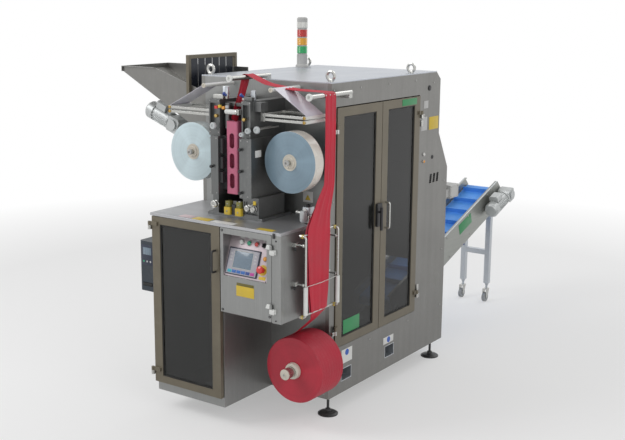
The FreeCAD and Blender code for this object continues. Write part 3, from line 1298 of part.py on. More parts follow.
def net_spreader():
    """The frame that spreads the net beside the control box: two bent bows on arms, bars, nuts and sleeves."""
    steel = []
    rollers = []
    foot = "spreader_bar_right"
    ends = (("Front", "spreader_front", "sleeve_front_long"), ("Back", "spreader_back", "sleeve_back_long"))
    for end, y, sleeve_long in ends:
        arch = bow("SpreaderBow" + end, f"spreader_right - {foot}", "spreader_high - spreader_low",
                   "spreader_bend", "spreader_rod")
        steel.append(put(arch, foot, y, "spreader_low"))
        for level, z in (("Low", "spreader_low"), ("High", "spreader_high")):
            steel.append(rod(f"SpreaderNut{end}{level}", "x", (f"{foot} - spreader_nut", y, z),
                             f"{foot} + spreader_nut", "spreader_nut"))
        for level, z in (("Low", "spreader_low + spreader_arm_low"), ("High", "spreader_high - spreader_arm_drop")):
            steel.append(rod(f"SpreaderArm{end}{level}", "x", ("box_sheet", y, z), "spreader_right", "spreader_bar"))
            steel.append(block(f"SpreaderClamp{end}{level}", ("box_sheet", "box_sheet + 26"),
                               (f"{y} - 14", f"{y} + 14"), (f"{z} - 11", f"{z} + 11")))
        low = "spreader_low + sleeve_lift"
        sleeve = rod("SpreaderSleeve" + end, "z", ("spreader_right", y, low), f"{low} + {sleeve_long}", "net_roller")
        hole = rod("SpreaderSleeveHole" + end, "z", ("spreader_right", y, f"{low} - 1"), f"{low} + {sleeve_long} + 1",
                   "spreader_rod + running_gap")
        rollers.append(cut("SpreaderRoller" + end, sleeve, hole))
    for level, z in (("Low", "spreader_low"), ("High", "spreader_high")):
        steel.append(rod("SpreaderBar" + level, "y", (foot, "spreader_front", z), "spreader_back", "spreader_bar"))
    sub_part(join("SpreaderRollers", *rollers), "net_rollers")
    bars = []
    for side, x, front, back, z in (
        ("Right", "top_bar_right", "top_bar_front", "top_bar_back", "top_bar_height"),
        ("Left", "left_bar_right", "left_bar_front", "left_bar_back", "left_bar_height"),
    ):
        bars.append(rod("TopBar" + side, "y", (x, front, z), back, "top_bar_radius"))
        bars.append(rod("TopBarEnd" + side, "y", (x, f"{front} - 6", z), front, "top_bar_radius + 3"))
    bars.append(block("TopBarStay", ("0", "top_bar_right + 10"), ("top_bar_back - 30", "top_bar_back"),
                      ("top_bar_height - 30", "top_bar_height - 6")))
    bars.append(block("LeftBarStay", ("left_bar_right - 12", "left_bar_right + 12"),
                      ("left_bar_back - 36", "left_bar_back"), ("roof_height", "left_bar_height - 4")))
    sub_part(join("Spreader", *steel, *bars), "net_spreader")


def net_web():
    """The band of net from the reel, up through the spreader, over both top bars and down to the tube."""
    middle = "(spreader_front + spreader_back) / 2"
    high = "top_bar_height + top_bar_radius + running_gap"
    far = "left_bar_height + top_bar_radius + running_gap"
    flat = (f"{middle} - net_flat_width / 2", f"{middle} + net_flat_width / 2")
    narrow = ("net_band_front", "net_band_front + net_narrow_width")
    side = prism("NetSide", "YZ_Plane", [
        (flat[0], "spreader_low - net_tail"), (flat[1], "spreader_low - net_tail"), (flat[1], "spreader_high"),
        (narrow[1], "spreader_high + net_gather"), (narrow[1], f"{high} + web_sheet"),
        (narrow[0], f"{high} + web_sheet"), (narrow[0], "spreader_high + net_gather"), (flat[0], "spreader_high"),
    ], "web_right - web_sheet", "web_right")
    over = prism("NetOver", "XZ_Plane", [
        ("web_right", high), ("left_bar_right", far), ("left_bar_right", f"{far} + web_sheet"),
        ("web_right", f"{high} + web_sheet"),
    ], *narrow)
    sub_part(join("NetWeb", side, over), "net_web")


def conveyor_place(right):
    """Place of a piece in the conveyor's own frame: X across, Y up the slope, Z square to the belt."""
    return {"right": right, "back": "belt_head_back", "up": "belt_head_height",
            "turn": FreeCAD.Rotation(X_AXIS, SIZES["belt_tilt"])}


def conveyor():
    """The discharge conveyor: side plates, slider bed, end rollers, cleated belt and drive."""
    width = "(belt_frame_right - belt_frame_left)"
    frame = conveyor_place("belt_frame_left")
    low = "-belt_centre"
    high = f"{low} + belt_frame_tall"
    plates = []
    for side, x, lip in (("Left", ("0", "belt_frame_sheet"), ("0", "belt_frame_lip")),
                         ("Right", (f"{width} - belt_frame_sheet", width), (f"{width} - belt_frame_lip", width))):
        plate = prism("BeltPlate" + side, "YZ_Plane", [
            ("-belt_frame_long", low), ("-20", low), ("belt_roller", "-belt_roller"), ("belt_roller", "belt_roller"),
            ("-6", high), ("-belt_frame_long", high),
        ], *x)
        plates.append(plate)
        plates.append(block("BeltLip" + side, lip, ("-belt_frame_long", "-6"), (f"{high} - belt_frame_sheet", high)))
    for index in range(3):
        y = f"-belt_frame_long * {0.2 + 0.3 * index:.2f}"
        plates.append(rod(f"BeltTie{index}", "x", ("0", y, "0"), width, "10"))
    tail = "-belt_frame_long + belt_roller + 30"
    x = ("belt_frame_sheet + belt_edge_gap", f"{width} - belt_frame_sheet - belt_edge_gap")
    radius = "(belt_roller + belt_sheet)"
    loop = block("BeltLoop", x, (tail, "0"), (f"-{radius}", radius))
    ends = [rod("BeltEnd" + end, "x", (x[0], y, "0"), x[1], radius) for end, y in (("Tail", tail), ("Head", "0"))]
    inner = block("BeltInner", (f"{x[0]} - 1", f"{x[1]} + 1"), (tail, "0"), ("-belt_roller", "belt_roller"))
    inner_ends = [rod("BeltInnerEnd" + end, "x", (f"{x[0]} - 1", y, "0"), f"{x[1]} + 1", "belt_roller")
                  for end, y in (("Tail", tail), ("Head", "0"))]
    cleats = []
    for index in range(int(value("(belt_frame_long - belt_roller * 3 - 90) / cleat_pitch")) + 1):
        y = f"-90 - {index} * cleat_pitch"
        cleats.append(block(f"Cleat{index}", (f"{x[0]} + 12", f"{x[1]} - 12"), (y, f"{y} + cleat_sheet"),
                            (radius, f"{radius} + cleat_tall")))
    belt = cut("BeltCut", join("BeltOuter", loop, *ends), join("BeltInside", inner, *inner_ends))
    sub_part(join("Belt", belt, *cleats), "conveyor_belt", **frame)

    rollers = [rod("BeltRoller" + end, "x", ("0", y, "0"), width, "belt_roller - 0.3") for end, y in
               (("Tail", tail), ("Head", "0"))]
    bed = block("SliderBed", ("belt_frame_sheet", f"{width} - belt_frame_sheet"),
                (f"{tail} + belt_roller + 10", "-belt_roller - 10"), ("belt_roller - 5", "belt_roller - 1"))
    sub_part(join("BeltFrame", *plates, bed, *rollers), "conveyor_frame", **frame)

    turn = FreeCAD.Rotation(X_AXIS, SIZES["belt_tilt"]).multiply(FreeCAD.Rotation(Z_AXIS, 90))
    run = "(gearbox_size / 2 + 6)"
    rise = SIZES["belt_tilt"]
    drive = {
        "right": "belt_frame_right + boss_tall + gearbox_size / 2",
        "back": f"belt_head_back - {run} * cos({rise} * 1deg)",
        "up": f"belt_head_height - {run} * sin({rise} * 1deg)",
        "turn": turn,
    }
    pieces = (gearmotor("BeltMotor", "belt_motor_long"), gearbox("BeltGearbox", "gearbox_size"))
    sub_part(join("BeltDrive", *pieces), "conveyor_drive", **drive)


def conveyor_stand():
    """The stand under the conveyor's head, and its two casters with their forks and wheels."""
    half = "stand_tube / 2"
    top = "belt_head_height - 130"
    tubes = []
    for side, x in (("Left", "stand_left"), ("Right", "stand_right")):
        tubes.append(block("StandLeg" + side, (f"{x} - {half}", f"{x} + {half}"),
                           (f"stand_back - {half}", f"stand_back + {half}"), ("stand_bottom + stand_plug", top)))
        plug = turned("StandPlug" + side, [
            ("0", "0"), (f"{half} * 0.5", "0"), (f"{half} * 0.98", "stand_plug"), ("0", "stand_plug")])
        tubes.append(put(plug, x, "stand_back", "stand_bottom"))
        tubes.append(rod("StandStem" + side, "z", (x, "stand_back", "stand_bottom - 22"), "stand_bottom", "9"))
    for level, low, span in (
        ("Cross", "stand_cross", (f"stand_left - {half}", f"stand_right + {half}")),
        ("Head", top, ("belt_frame_left + belt_frame_sheet", "belt_frame_right - belt_frame_sheet")),
    ):
        tubes.append(block("Stand" + level, span,
                           (f"stand_back - {half}", f"stand_back + {half}"), (low, f"{low} + stand_tube")))
    sub_part(join("Stand", *tubes), "conveyor_stand")
    for side, x in (("Left", "stand_left"), ("Right", "stand_right")):
        caster(side, x)


def caster(side, x):
    """A swivel caster: a bent fork under its stem, and a wheel on an axle."""
    low = ("wheel_radius", "stand_bottom - 22.4")
    cheek_x = ("wheel_width / 2 + fork_clear", "wheel_width / 2 + fork_clear + fork_sheet")
    reach = ("-wheel_trail - 12", "18")
    crown = block("ForkCrown" + side, (f"-({cheek_x[1]})", cheek_x[1]), reach, (f"{low[1]} - 5", low[1]))
    cheeks = []
    for hand, span in (("A", cheek_x), ("B", (f"-({cheek_x[1]})", f"-({cheek_x[0]})"))):
        cheeks.append(prism(f"ForkCheek{side}{hand}", "YZ_Plane", [
            ("-wheel_trail - 12", "wheel_radius - 10"), ("12 - wheel_trail", "wheel_radius - 10"),
            ("18", f"{low[1]} - 4"), ("-wheel_trail - 12", f"{low[1]} - 4"),
        ], *span))
    axle = rod("Axle" + side, "x", (f"-({cheek_x[1]}) - 2", "-wheel_trail", "wheel_radius"), f"{cheek_x[1]} + 2",
               "axle_radius")
    sub_part(join("CasterFork" + side, crown, axle, *cheeks), "caster_fork_" + side.lower(), x, "stand_back", "0")
    tyre = rod("TyreSolid" + side, "x", ("-wheel_width / 2", "-wheel_trail", "wheel_radius"), "wheel_width / 2",
               "wheel_radius")
    hole = rod("TyreHole" + side, "x", ("-wheel_width / 2 - 1", "-wheel_trail", "wheel_radius"), "wheel_width / 2 + 1",
               "axle_radius + running_gap")
    sub_part(cut("Wheel" + side, tyre, hole), "caster_wheel_" + side.lower(), x, "stand_back", "0")


def check_document():
    """Stops the build where an object failed or a sub-part has no sound shape."""
    for item in doc.Objects:
        if "Invalid" in item.State or "Error" in item.State:
            raise RuntimeError(f"{item.Name} failed: {item.State}")
    for item in SUB_PARTS:
        if item.Shape.isNull() or not item.Shape.isValid():
            raise RuntimeError(f"{item.Label} has no sound shape")


def write_parts():
    """Writes one file for each sub-part."""
    os.makedirs("parts", exist_ok=True)
    for item in SUB_PARTS:
        item.Shape.exportStep(f"parts/{item.Label}.step")
    box = FreeCAD.BoundBox()
    for item in SUB_PARTS:
        box.add(item.Shape.BoundBox)
    volume = sum(item.Shape.Volume for item in SUB_PARTS)
    print(f"{len(SUB_PARTS)} sub-parts, box {box}, volume {volume / 1e9:.4f} cubic metres")


side_panels()
body_shell()
fork_channels()
front_cabinet()
sub_part(join("DoorHinges", *front_door(), *side_doors()), "door_hinges")
control_box()
control_door()
levelling_feet()
lifting_eyes()
signal_tower()
infeed_chute()
chute_guard()
chute_drive()
label_printer()
film_unwind()
film_webs()
fill_tube()
forming_head()
closing_unit()
net_reel()
net_spreader()
net_web()
conveyor()
conveyor_stand()
doc.recompute()
check_document()
write_parts()
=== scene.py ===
"""Looks of a net bag packaging machine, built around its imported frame."""

import logging
import math
from dataclasses import dataclass
from enum import Enum
from typing import Callable, Iterable, Sequence

import bmesh
import bpy
from mathutils import Euler, Matrix, Vector


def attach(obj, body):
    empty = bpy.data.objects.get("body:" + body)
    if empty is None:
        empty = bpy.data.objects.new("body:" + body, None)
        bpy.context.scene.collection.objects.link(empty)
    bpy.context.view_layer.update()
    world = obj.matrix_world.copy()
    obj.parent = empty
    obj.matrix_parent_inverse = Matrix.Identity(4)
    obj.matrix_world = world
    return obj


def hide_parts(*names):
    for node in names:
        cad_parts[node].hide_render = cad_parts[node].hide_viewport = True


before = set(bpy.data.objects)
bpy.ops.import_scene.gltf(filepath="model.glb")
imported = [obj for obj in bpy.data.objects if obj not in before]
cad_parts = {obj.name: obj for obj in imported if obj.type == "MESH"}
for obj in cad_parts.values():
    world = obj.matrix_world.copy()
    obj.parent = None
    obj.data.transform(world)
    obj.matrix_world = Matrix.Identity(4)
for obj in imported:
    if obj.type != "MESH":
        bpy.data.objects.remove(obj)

LOG = logging.getLogger("net_bag_machine")
Colour = tuple[float, float, float]
Point = Sequence[float]

MACHINE = "machine"
SMOOTH_LIMIT = math.radians(40)
SHIFT = Vector((0.733, -1.196, 0.0))
RIGHT, LEFT = (1, 0, 0), (-1, 0, 0)
BACK, FRONT = (0, 1, 0), (0, -1, 0)
UP, DOWN = (0, 0, 1), (0, 0, -1)


class Grain(Enum):
    """Which way the brushing of a sheet runs, as a stretch of its noise along X, Y and Z."""

    UPRIGHT = (900.0, 900.0, 9.0)
    ACROSS = (9.0, 900.0, 900.0)
    LENGTHWISE = (900.0, 9.0, 900.0)


class Graph:
    """Writes shader nodes into a tree."""

    def __init__(self, tree: bpy.types.NodeTree) -> None:
        """Starts on an emptied tree.

        Args:
            tree: The node tree of a material, a group or the world.
        """
        self.tree = tree
        tree.nodes.clear()

    def add(self, kind: str, settings: dict | None = None, **inputs: object) -> bpy.types.Node:
        """Adds a node.

        Args:
            kind: The type of the node, without its ShaderNode prefix.
            settings: Properties of the node by name.
            **inputs: Values or output sockets for its inputs, by name with _ for a space,
                or by place as in_0, in_1.

        Returns:
            The new node.
        """
        node = self.tree.nodes.new(kind if kind.startswith("Node") else "ShaderNode" + kind)
        for name, value in (settings or {}).items():
            setattr(node, name, value)
        for name, value in inputs.items():
            socket = node.inputs[int(name[3:])] if name.startswith("in_") else node.inputs[name.replace("_", " ")]
            if isinstance(value, bpy.types.NodeSocket):
                self.tree.links.new(value, socket)
            else:
                socket.default_value = value
        return node

    def maths(self, operation: str, first: object, second: object = 0.0) -> bpy.types.NodeSocket:
        """Adds a maths node and returns its result."""
        return self.add("Math", {"operation": operation}, in_0=first, in_1=second).outputs[0]

    def noise(self, where: object, scale: float, detail: float = 2.0, roughness: float = 0.5) -> bpy.types.NodeSocket:
        """Adds a noise texture and returns its value."""
        return self.add("TexNoise", Vector=where, Scale=scale, Detail=detail, Roughness=roughness).outputs[0]

    def ramp(self, factor: object, low: float, high: float, start: float = 0.0,
             end: float = 1.0) -> bpy.types.NodeSocket:
        """Maps a factor from low and high to start and end, held at both ends."""
        node = self.add("MapRange", in_0=factor, in_1=low, in_2=high, in_3=start, in_4=end)
        return node.outputs[0]

    def mix(self, factor: object, first: object, second: object) -> bpy.types.NodeSocket:
        """Mixes two colours."""
        node = self.add("Mix", {"data_type": "RGBA"})
        for place, value in ((0, factor), (6, first), (7, second)):
            if isinstance(value, bpy.types.NodeSocket):
                self.tree.links.new(value, node.inputs[place])
            elif place == 0:
                node.inputs[place].default_value = value
            else:
                node.inputs[place].default_value = (*value, 1.0) if len(value) == 3 else value
        return node.outputs[2]


def group(name: str, sockets: Iterable[tuple[str, str, str]],
          write: Callable[[Graph, dict, dict], None]) -> bpy.types.NodeTree:
    """Builds a shader node group once.

    Args:
        name: The group's name.
        sockets: Name, direction and type of each socket.
        write: Writes the nodes, given the graph, the input sockets and a dictionary for the outputs.

    Returns:
        The group's node tree.
    """
    if name in bpy.data.node_groups:
        return bpy.data.node_groups[name]
    tree = bpy.data.node_groups.new(name, "ShaderNodeTree")
    graph = Graph(tree)
    for word, direction, kind in sockets:
        tree.interface.new_socket(name=word, in_out=direction, socket_type=kind)
    entry = tree.nodes.new("NodeGroupInput")
    outputs: dict = {}
    write(graph, {socket.name: socket for socket in entry.outputs if socket.name}, outputs)
    leave = tree.nodes.new("NodeGroupOutput")
    for word, value in outputs.items():
        tree.links.new(value, leave.inputs[word])
    return tree


def soft_edges() -> bpy.types.NodeTree:
    """Normals with small rounded edges and a bump, and a mask that is bright along the edges."""

    def write(graph: Graph, given: dict, outputs: dict) -> None:
        """Writes the nodes."""
        bevel = graph.add("Bevel", {"samples": 4}, Radius=given["Radius"]).outputs[0]
        flat = graph.add("NewGeometry").outputs["Normal"]
        dot = graph.add("VectorMath", {"operation": "DOT_PRODUCT"}, in_0=bevel, in_1=flat).outputs["Value"]
        bump = graph.add("Bump", Height=given["Height"], Distance=given["Depth"], Normal=bevel)
        outputs["Normal"] = bump.outputs[0]
        outputs["Edge"] = graph.ramp(dot, 0.995, 0.85)

    return group("Soft edges", [
        ("Radius", "INPUT", "NodeSocketFloat"), ("Height", "INPUT", "NodeSocketFloat"),
        ("Depth", "INPUT", "NodeSocketFloat"), ("Normal", "OUTPUT", "NodeSocketVector"),
        ("Edge", "OUTPUT", "NodeSocketFloat"),
    ], write)


def brushed_grain() -> bpy.types.NodeTree:
    """Fine streaks along one axis with broad smears, for brushed sheet."""

    def write(graph: Graph, given: dict, outputs: dict) -> None:
        """Writes the nodes."""
        place = graph.add("TexCoord").outputs["Object"]
        stretched = graph.add("VectorMath", {"operation": "MULTIPLY"}, in_0=place, in_1=given["Stretch"]).outputs[0]
        outputs["Streaks"] = graph.noise(stretched, 1.0, 3.0, 0.6)
        cloud = graph.noise(place, 3.2, 3.0, 0.55)
        wide = graph.add("VectorMath", {"operation": "MULTIPLY"}, in_0=given["Stretch"],
                         in_1=(0.02, 0.02, 0.06)).outputs[0]
        band = graph.noise(graph.add("VectorMath", {"operation": "MULTIPLY"}, in_0=place, in_1=wide).outputs[0],
                           1.0, 2.0, 0.5)
        outputs["Smears"] = graph.maths("MULTIPLY", graph.maths("ADD", cloud, band), 0.5)

    return group("Brushed grain", [
        ("Stretch", "INPUT", "NodeSocketVector"), ("Streaks", "OUTPUT", "NodeSocketFloat"),
        ("Smears", "OUTPUT", "NodeSocketFloat"),
    ], write)


def workshop_dust() -> bpy.types.NodeTree:
    """A mask of thin dust and handling marks, denser on faces that look up."""

    def write(graph: Graph, given: dict, outputs: dict) -> None:
        """Writes the nodes."""
        place = graph.add("TexCoord").outputs["Object"]
        up = graph.add("SeparateXYZ", in_0=graph.add("NewGeometry").outputs["Normal"]).outputs[2]
        specks = graph.ramp(graph.noise(place, 46.0, 4.0, 0.7), 0.52, 0.74)
        clouds = graph.ramp(graph.noise(place, 5.0, 3.0, 0.6), 0.35, 0.75)
        facing = graph.ramp(up, 0.2, 0.95, 0.45, 1.0)
        both = graph.maths("MULTIPLY", graph.ramp(specks, 0.0, 1.0, 0.1, 0.6), facing)
        outputs["Dust"] = graph.maths("MULTIPLY", graph.maths("MULTIPLY", both, clouds), given["Amount"])

    return group("Workshop dust", [
        ("Amount", "INPUT", "NodeSocketFloat"), ("Dust", "OUTPUT", "NodeSocketFloat"),
    ], write)


def moulded_grain() -> bpy.types.NodeTree:
    """The fine pebbled skin of moulded plastic and paint."""

    def write(graph: Graph, given: dict, outputs: dict) -> None:
        """Writes the nodes."""
        place = graph.add("TexCoord").outputs["Object"]
        pebbles = graph.add("TexVoronoi", {"feature": "SMOOTH_F1"}, Vector=place, Scale=given["Scale"]).outputs[0]
        outputs["Height"] = pebbles
        outputs["Tone"] = graph.noise(place, 7.0, 3.0, 0.6)

    return group("Moulded grain", [
        ("Scale", "INPUT", "NodeSocketFloat"), ("Height", "OUTPUT", "NodeSocketFloat"),
        ("Tone", "OUTPUT", "NodeSocketFloat"),
    ], write)


def wound_rings() -> bpy.types.NodeTree:
    """Rings round an axis along Y, for the side of a wound reel, and a mask by angle round the axis for its painted
    sheen.
    """

    def write(graph: Graph, given: dict, outputs: dict) -> None:
        """Writes the nodes."""
        place = graph.add("TexCoord").outputs["Object"]
        offset = graph.add("VectorMath", {"operation": "SUBTRACT"}, in_0=place, in_1=given["Centre"]).outputs[0]
        flat = graph.add("VectorMath", {"operation": "MULTIPLY"}, in_0=offset, in_1=(1.0, 0.0, 1.0)).outputs[0]
        radius = graph.add("VectorMath", {"operation": "LENGTH"}, in_0=flat).outputs["Value"]
        line = graph.add("CombineXYZ", in_0=radius).outputs[0]
        outputs["Rings"] = graph.noise(line, given["Scale"], 4.0, 0.75)
        outputs["Bands"] = graph.noise(line, 38.0, 2.0, 0.5)
        outputs["Painted sheen"] = graph.noise(graph.add("VectorMath", {"operation": "NORMALIZE"}, in_0=flat).outputs[0],
                                       1.6, 2.0, 0.5)

    return group("Wound rings", [
        ("Centre", "INPUT", "NodeSocketVector"), ("Scale", "INPUT", "NodeSocketFloat"),
        ("Rings", "OUTPUT", "NodeSocketFloat"), ("Bands", "OUTPUT", "NodeSocketFloat"),
        ("Painted sheen", "OUTPUT", "NodeSocketFloat"),
    ], write)


@dataclass(frozen=True)
class Finish:
    """What all finishes share: a name, a colour and how it is built once."""

    name: str
    colour: Colour

    def material(self) -> bpy.types.Material:
        """Returns the material, built at the first call."""
        made = bpy.data.materials.get(self.name)
        if made is None:
            made = bpy.data.materials.new(self.name)
            made.use_nodes = True
            graph = Graph(made.node_tree)
            shader = graph.add("BsdfPrincipled")
            leave = graph.add("OutputMaterial", Surface=shader.outputs[0])
            leave.is_active_output = True
            self.write(graph, shader)
        return made

    def write(self, graph: Graph, shader: bpy.types.Node) -> None:
        """Writes the finish's nodes into a graph that ends in the given shader."""
        raise NotImplementedError

    @staticmethod
    def wire(graph: Graph, shader: bpy.types.Node, **sockets: object) -> None:
        """Links or sets inputs of the shader by name."""
        for name, value in sockets.items():
            socket = shader.inputs[name.replace("_", " ")]
            if isinstance(value, bpy.types.NodeSocket):
                graph.tree.links.new(value, socket)
            else:
                socket.default_value = value

    @staticmethod
    def edges(graph: Graph, height: object, radius: float, depth: float) -> bpy.types.Node:
        """Adds the soft edge group."""
        return graph.add("Group", {"node_tree": soft_edges()}, Radius=radius, Height=height, Depth=depth)

    def shade(self, amount: float) -> tuple[float, float, float, float]:
        """Returns the colour made lighter or darker."""
        return (*(min(1.0, part * amount) for part in self.colour), 1.0)


@dataclass(frozen=True)
class BrushedSteel(Finish):
    """Brushed stainless sheet with a grain, smears and bright edges, partly wear and partly painted highlight."""

    grain: Grain = Grain.UPRIGHT
    roughness: float = 0.36
    metallic: float = 0.82
    edge: float = 0.0016
    dust: float = 0.5

    def write(self, graph: Graph, shader: bpy.types.Node) -> None:
        """Writes streaks into colour, roughness and bump."""
        grain = graph.add("Group", {"node_tree": brushed_grain()}, Stretch=self.grain.value)
        soft = self.edges(graph, grain.outputs["Streaks"], self.edge, 0.00012)
        streaked = graph.mix(graph.ramp(grain.outputs["Streaks"], 0.3, 0.7), self.shade(0.86), self.shade(1.12))
        smeared = graph.mix(graph.ramp(grain.outputs["Smears"], 0.35, 0.7), streaked, self.shade(0.92))
        # Edges made lighter along the bevel: partly wear, partly a painted highlight.
        edges_worn_and_highlit = graph.mix(graph.maths("MULTIPLY", soft.outputs["Edge"], 0.45), smeared, self.shade(1.7))
        dust = graph.add("Group", {"node_tree": workshop_dust()}, Amount=self.dust).outputs[0]
        rough = graph.ramp(grain.outputs["Smears"], 0.3, 0.75, self.roughness - 0.06, self.roughness + 0.1)
        self.wire(graph, shader, Base_Color=graph.mix(dust, edges_worn_and_highlit, (0.62, 0.60, 0.55)), Roughness=rough,
                  Metallic=self.metallic, Normal=soft.outputs["Normal"])


@dataclass(frozen=True)
class Moulding(Finish):
    """Moulded plastic or paint with a fine skin, tone changes and lighter edges, partly wear and partly painted
    highlight.
    """

    roughness: float = 0.42
    grain_scale: float = 900.0
    depth: float = 0.00008
    edge: float = 0.0012
    edge_wear_and_highlight: float = 0.3
    metallic: float = 0.0
    coat: float = 0.0
    dust: float = 0.35

    def write(self, graph: Graph, shader: bpy.types.Node) -> None:
        """Writes tone, skin and lighter edges, partly wear and partly painted highlight."""
        skin = graph.add("Group", {"node_tree": moulded_grain()}, Scale=self.grain_scale)
        soft = self.edges(graph, skin.outputs["Height"], self.edge, self.depth)
        tone = graph.mix(graph.ramp(skin.outputs["Tone"], 0.3, 0.7), self.shade(0.9), self.shade(1.08))
        # Edges made lighter along the bevel: partly wear, partly a painted highlight.
        edges_worn_and_highlit = graph.mix(graph.maths("MULTIPLY", soft.outputs["Edge"], self.edge_wear_and_highlight), tone, self.shade(1.6))
        dust = graph.add("Group", {"node_tree": workshop_dust()}, Amount=self.dust).outputs[0]
        rough = graph.ramp(skin.outputs["Tone"], 0.3, 0.7, self.roughness - 0.05, self.roughness + 0.06)
        self.wire(graph, shader, Base_Color=graph.mix(dust, edges_worn_and_highlit, (0.55, 0.53, 0.49)), Roughness=rough,
                  Metallic=self.metallic, Coat_Weight=self.coat, Normal=soft.outputs["Normal"])


@dataclass(frozen=True)
class TintedPane(Finish):
    """A dark tinted safety pane with faint wipe marks."""

    clear: float = 0.45

    def write(self, graph: Graph, shader: bpy.types.Node) -> None:
        """Writes a see-through tint with smears in its gloss."""
        grain = graph.add("Group", {"node_tree": brushed_grain()}, Stretch=(4.0, 4.0, 1.5))
        smear = graph.ramp(grain.outputs["Smears"], 0.35, 0.7)
        self.wire(graph, shader, Base_Color=graph.mix(smear, self.shade(0.9), self.shade(1.15)),
                  Roughness=graph.ramp(grain.outputs["Smears"], 0.3, 0.7, 0.04, 0.12),
                  Alpha=graph.ramp(grain.outputs["Smears"], 0.3, 0.7, 1.0 - self.clear - 0.03,
                                   1.0 - self.clear + 0.03),
                  Specular_IOR_Level=0.6)


@dataclass(frozen=True)
class WoundFilm(Finish):
    """The flat side of a wound reel, with rings, a soft gloss and a painted sheen."""

    centre: tuple[float, float, float] = (0.0, 0.0, 0.0)
    ring_scale: float = 900.0
    roughness: float = 0.3
    contrast: float = 0.12

    def write(self, graph: Graph, shader: bpy.types.Node) -> None:
        """Writes rings into colour and bump, and a painted sheen into colour."""
        rings = graph.add("Group", {"node_tree": wound_rings()}, Centre=self.centre, Scale=self.ring_scale)
        fine = graph.mix(rings.outputs["Rings"], self.shade(1 - self.contrast), self.shade(1 + self.contrast))
        broad = graph.mix(graph.ramp(rings.outputs["Bands"], 0.35, 0.65), fine, self.shade(0.9))
        # Lighter patches by angle round the reel: a painted sheen.
        painted_sheen_colour = graph.mix(graph.ramp(rings.outputs["Painted sheen"], 0.4, 0.75, 0.0, 0.5), broad, self.shade(1.3))
        soft = self.edges(graph, rings.outputs["Rings"], 0.0015, 0.0002)
        self.wire(graph, shader, Base_Color=painted_sheen_colour, Roughness=self.roughness, Coat_Weight=0.3,
                  Normal=soft.outputs["Normal"])


@dataclass(frozen=True)
class LensPlastic(Finish):
    """A coloured, slightly lit plastic: lamp light on the signal lenses, lamps and displays, and painted glow on the
    push buttons and clips, which are no lamps.
    """

    glow: float = 0.25

    def write(self, graph: Graph, shader: bpy.types.Node) -> None:
        """Writes upright ribs into colour, gloss and glow."""
        grain = graph.add("Group", {"node_tree": brushed_grain()}, Stretch=(260.0, 260.0, 2.0))
        ribs = graph.ramp(grain.outputs["Streaks"], 0.35, 0.65)
        tone = graph.mix(ribs, self.shade(0.8), self.shade(1.15))
        self.wire(graph, shader, Base_Color=tone, Emission_Color=tone, Emission_Strength=self.glow, Roughness=0.22,
                  Coat_Weight=0.5)


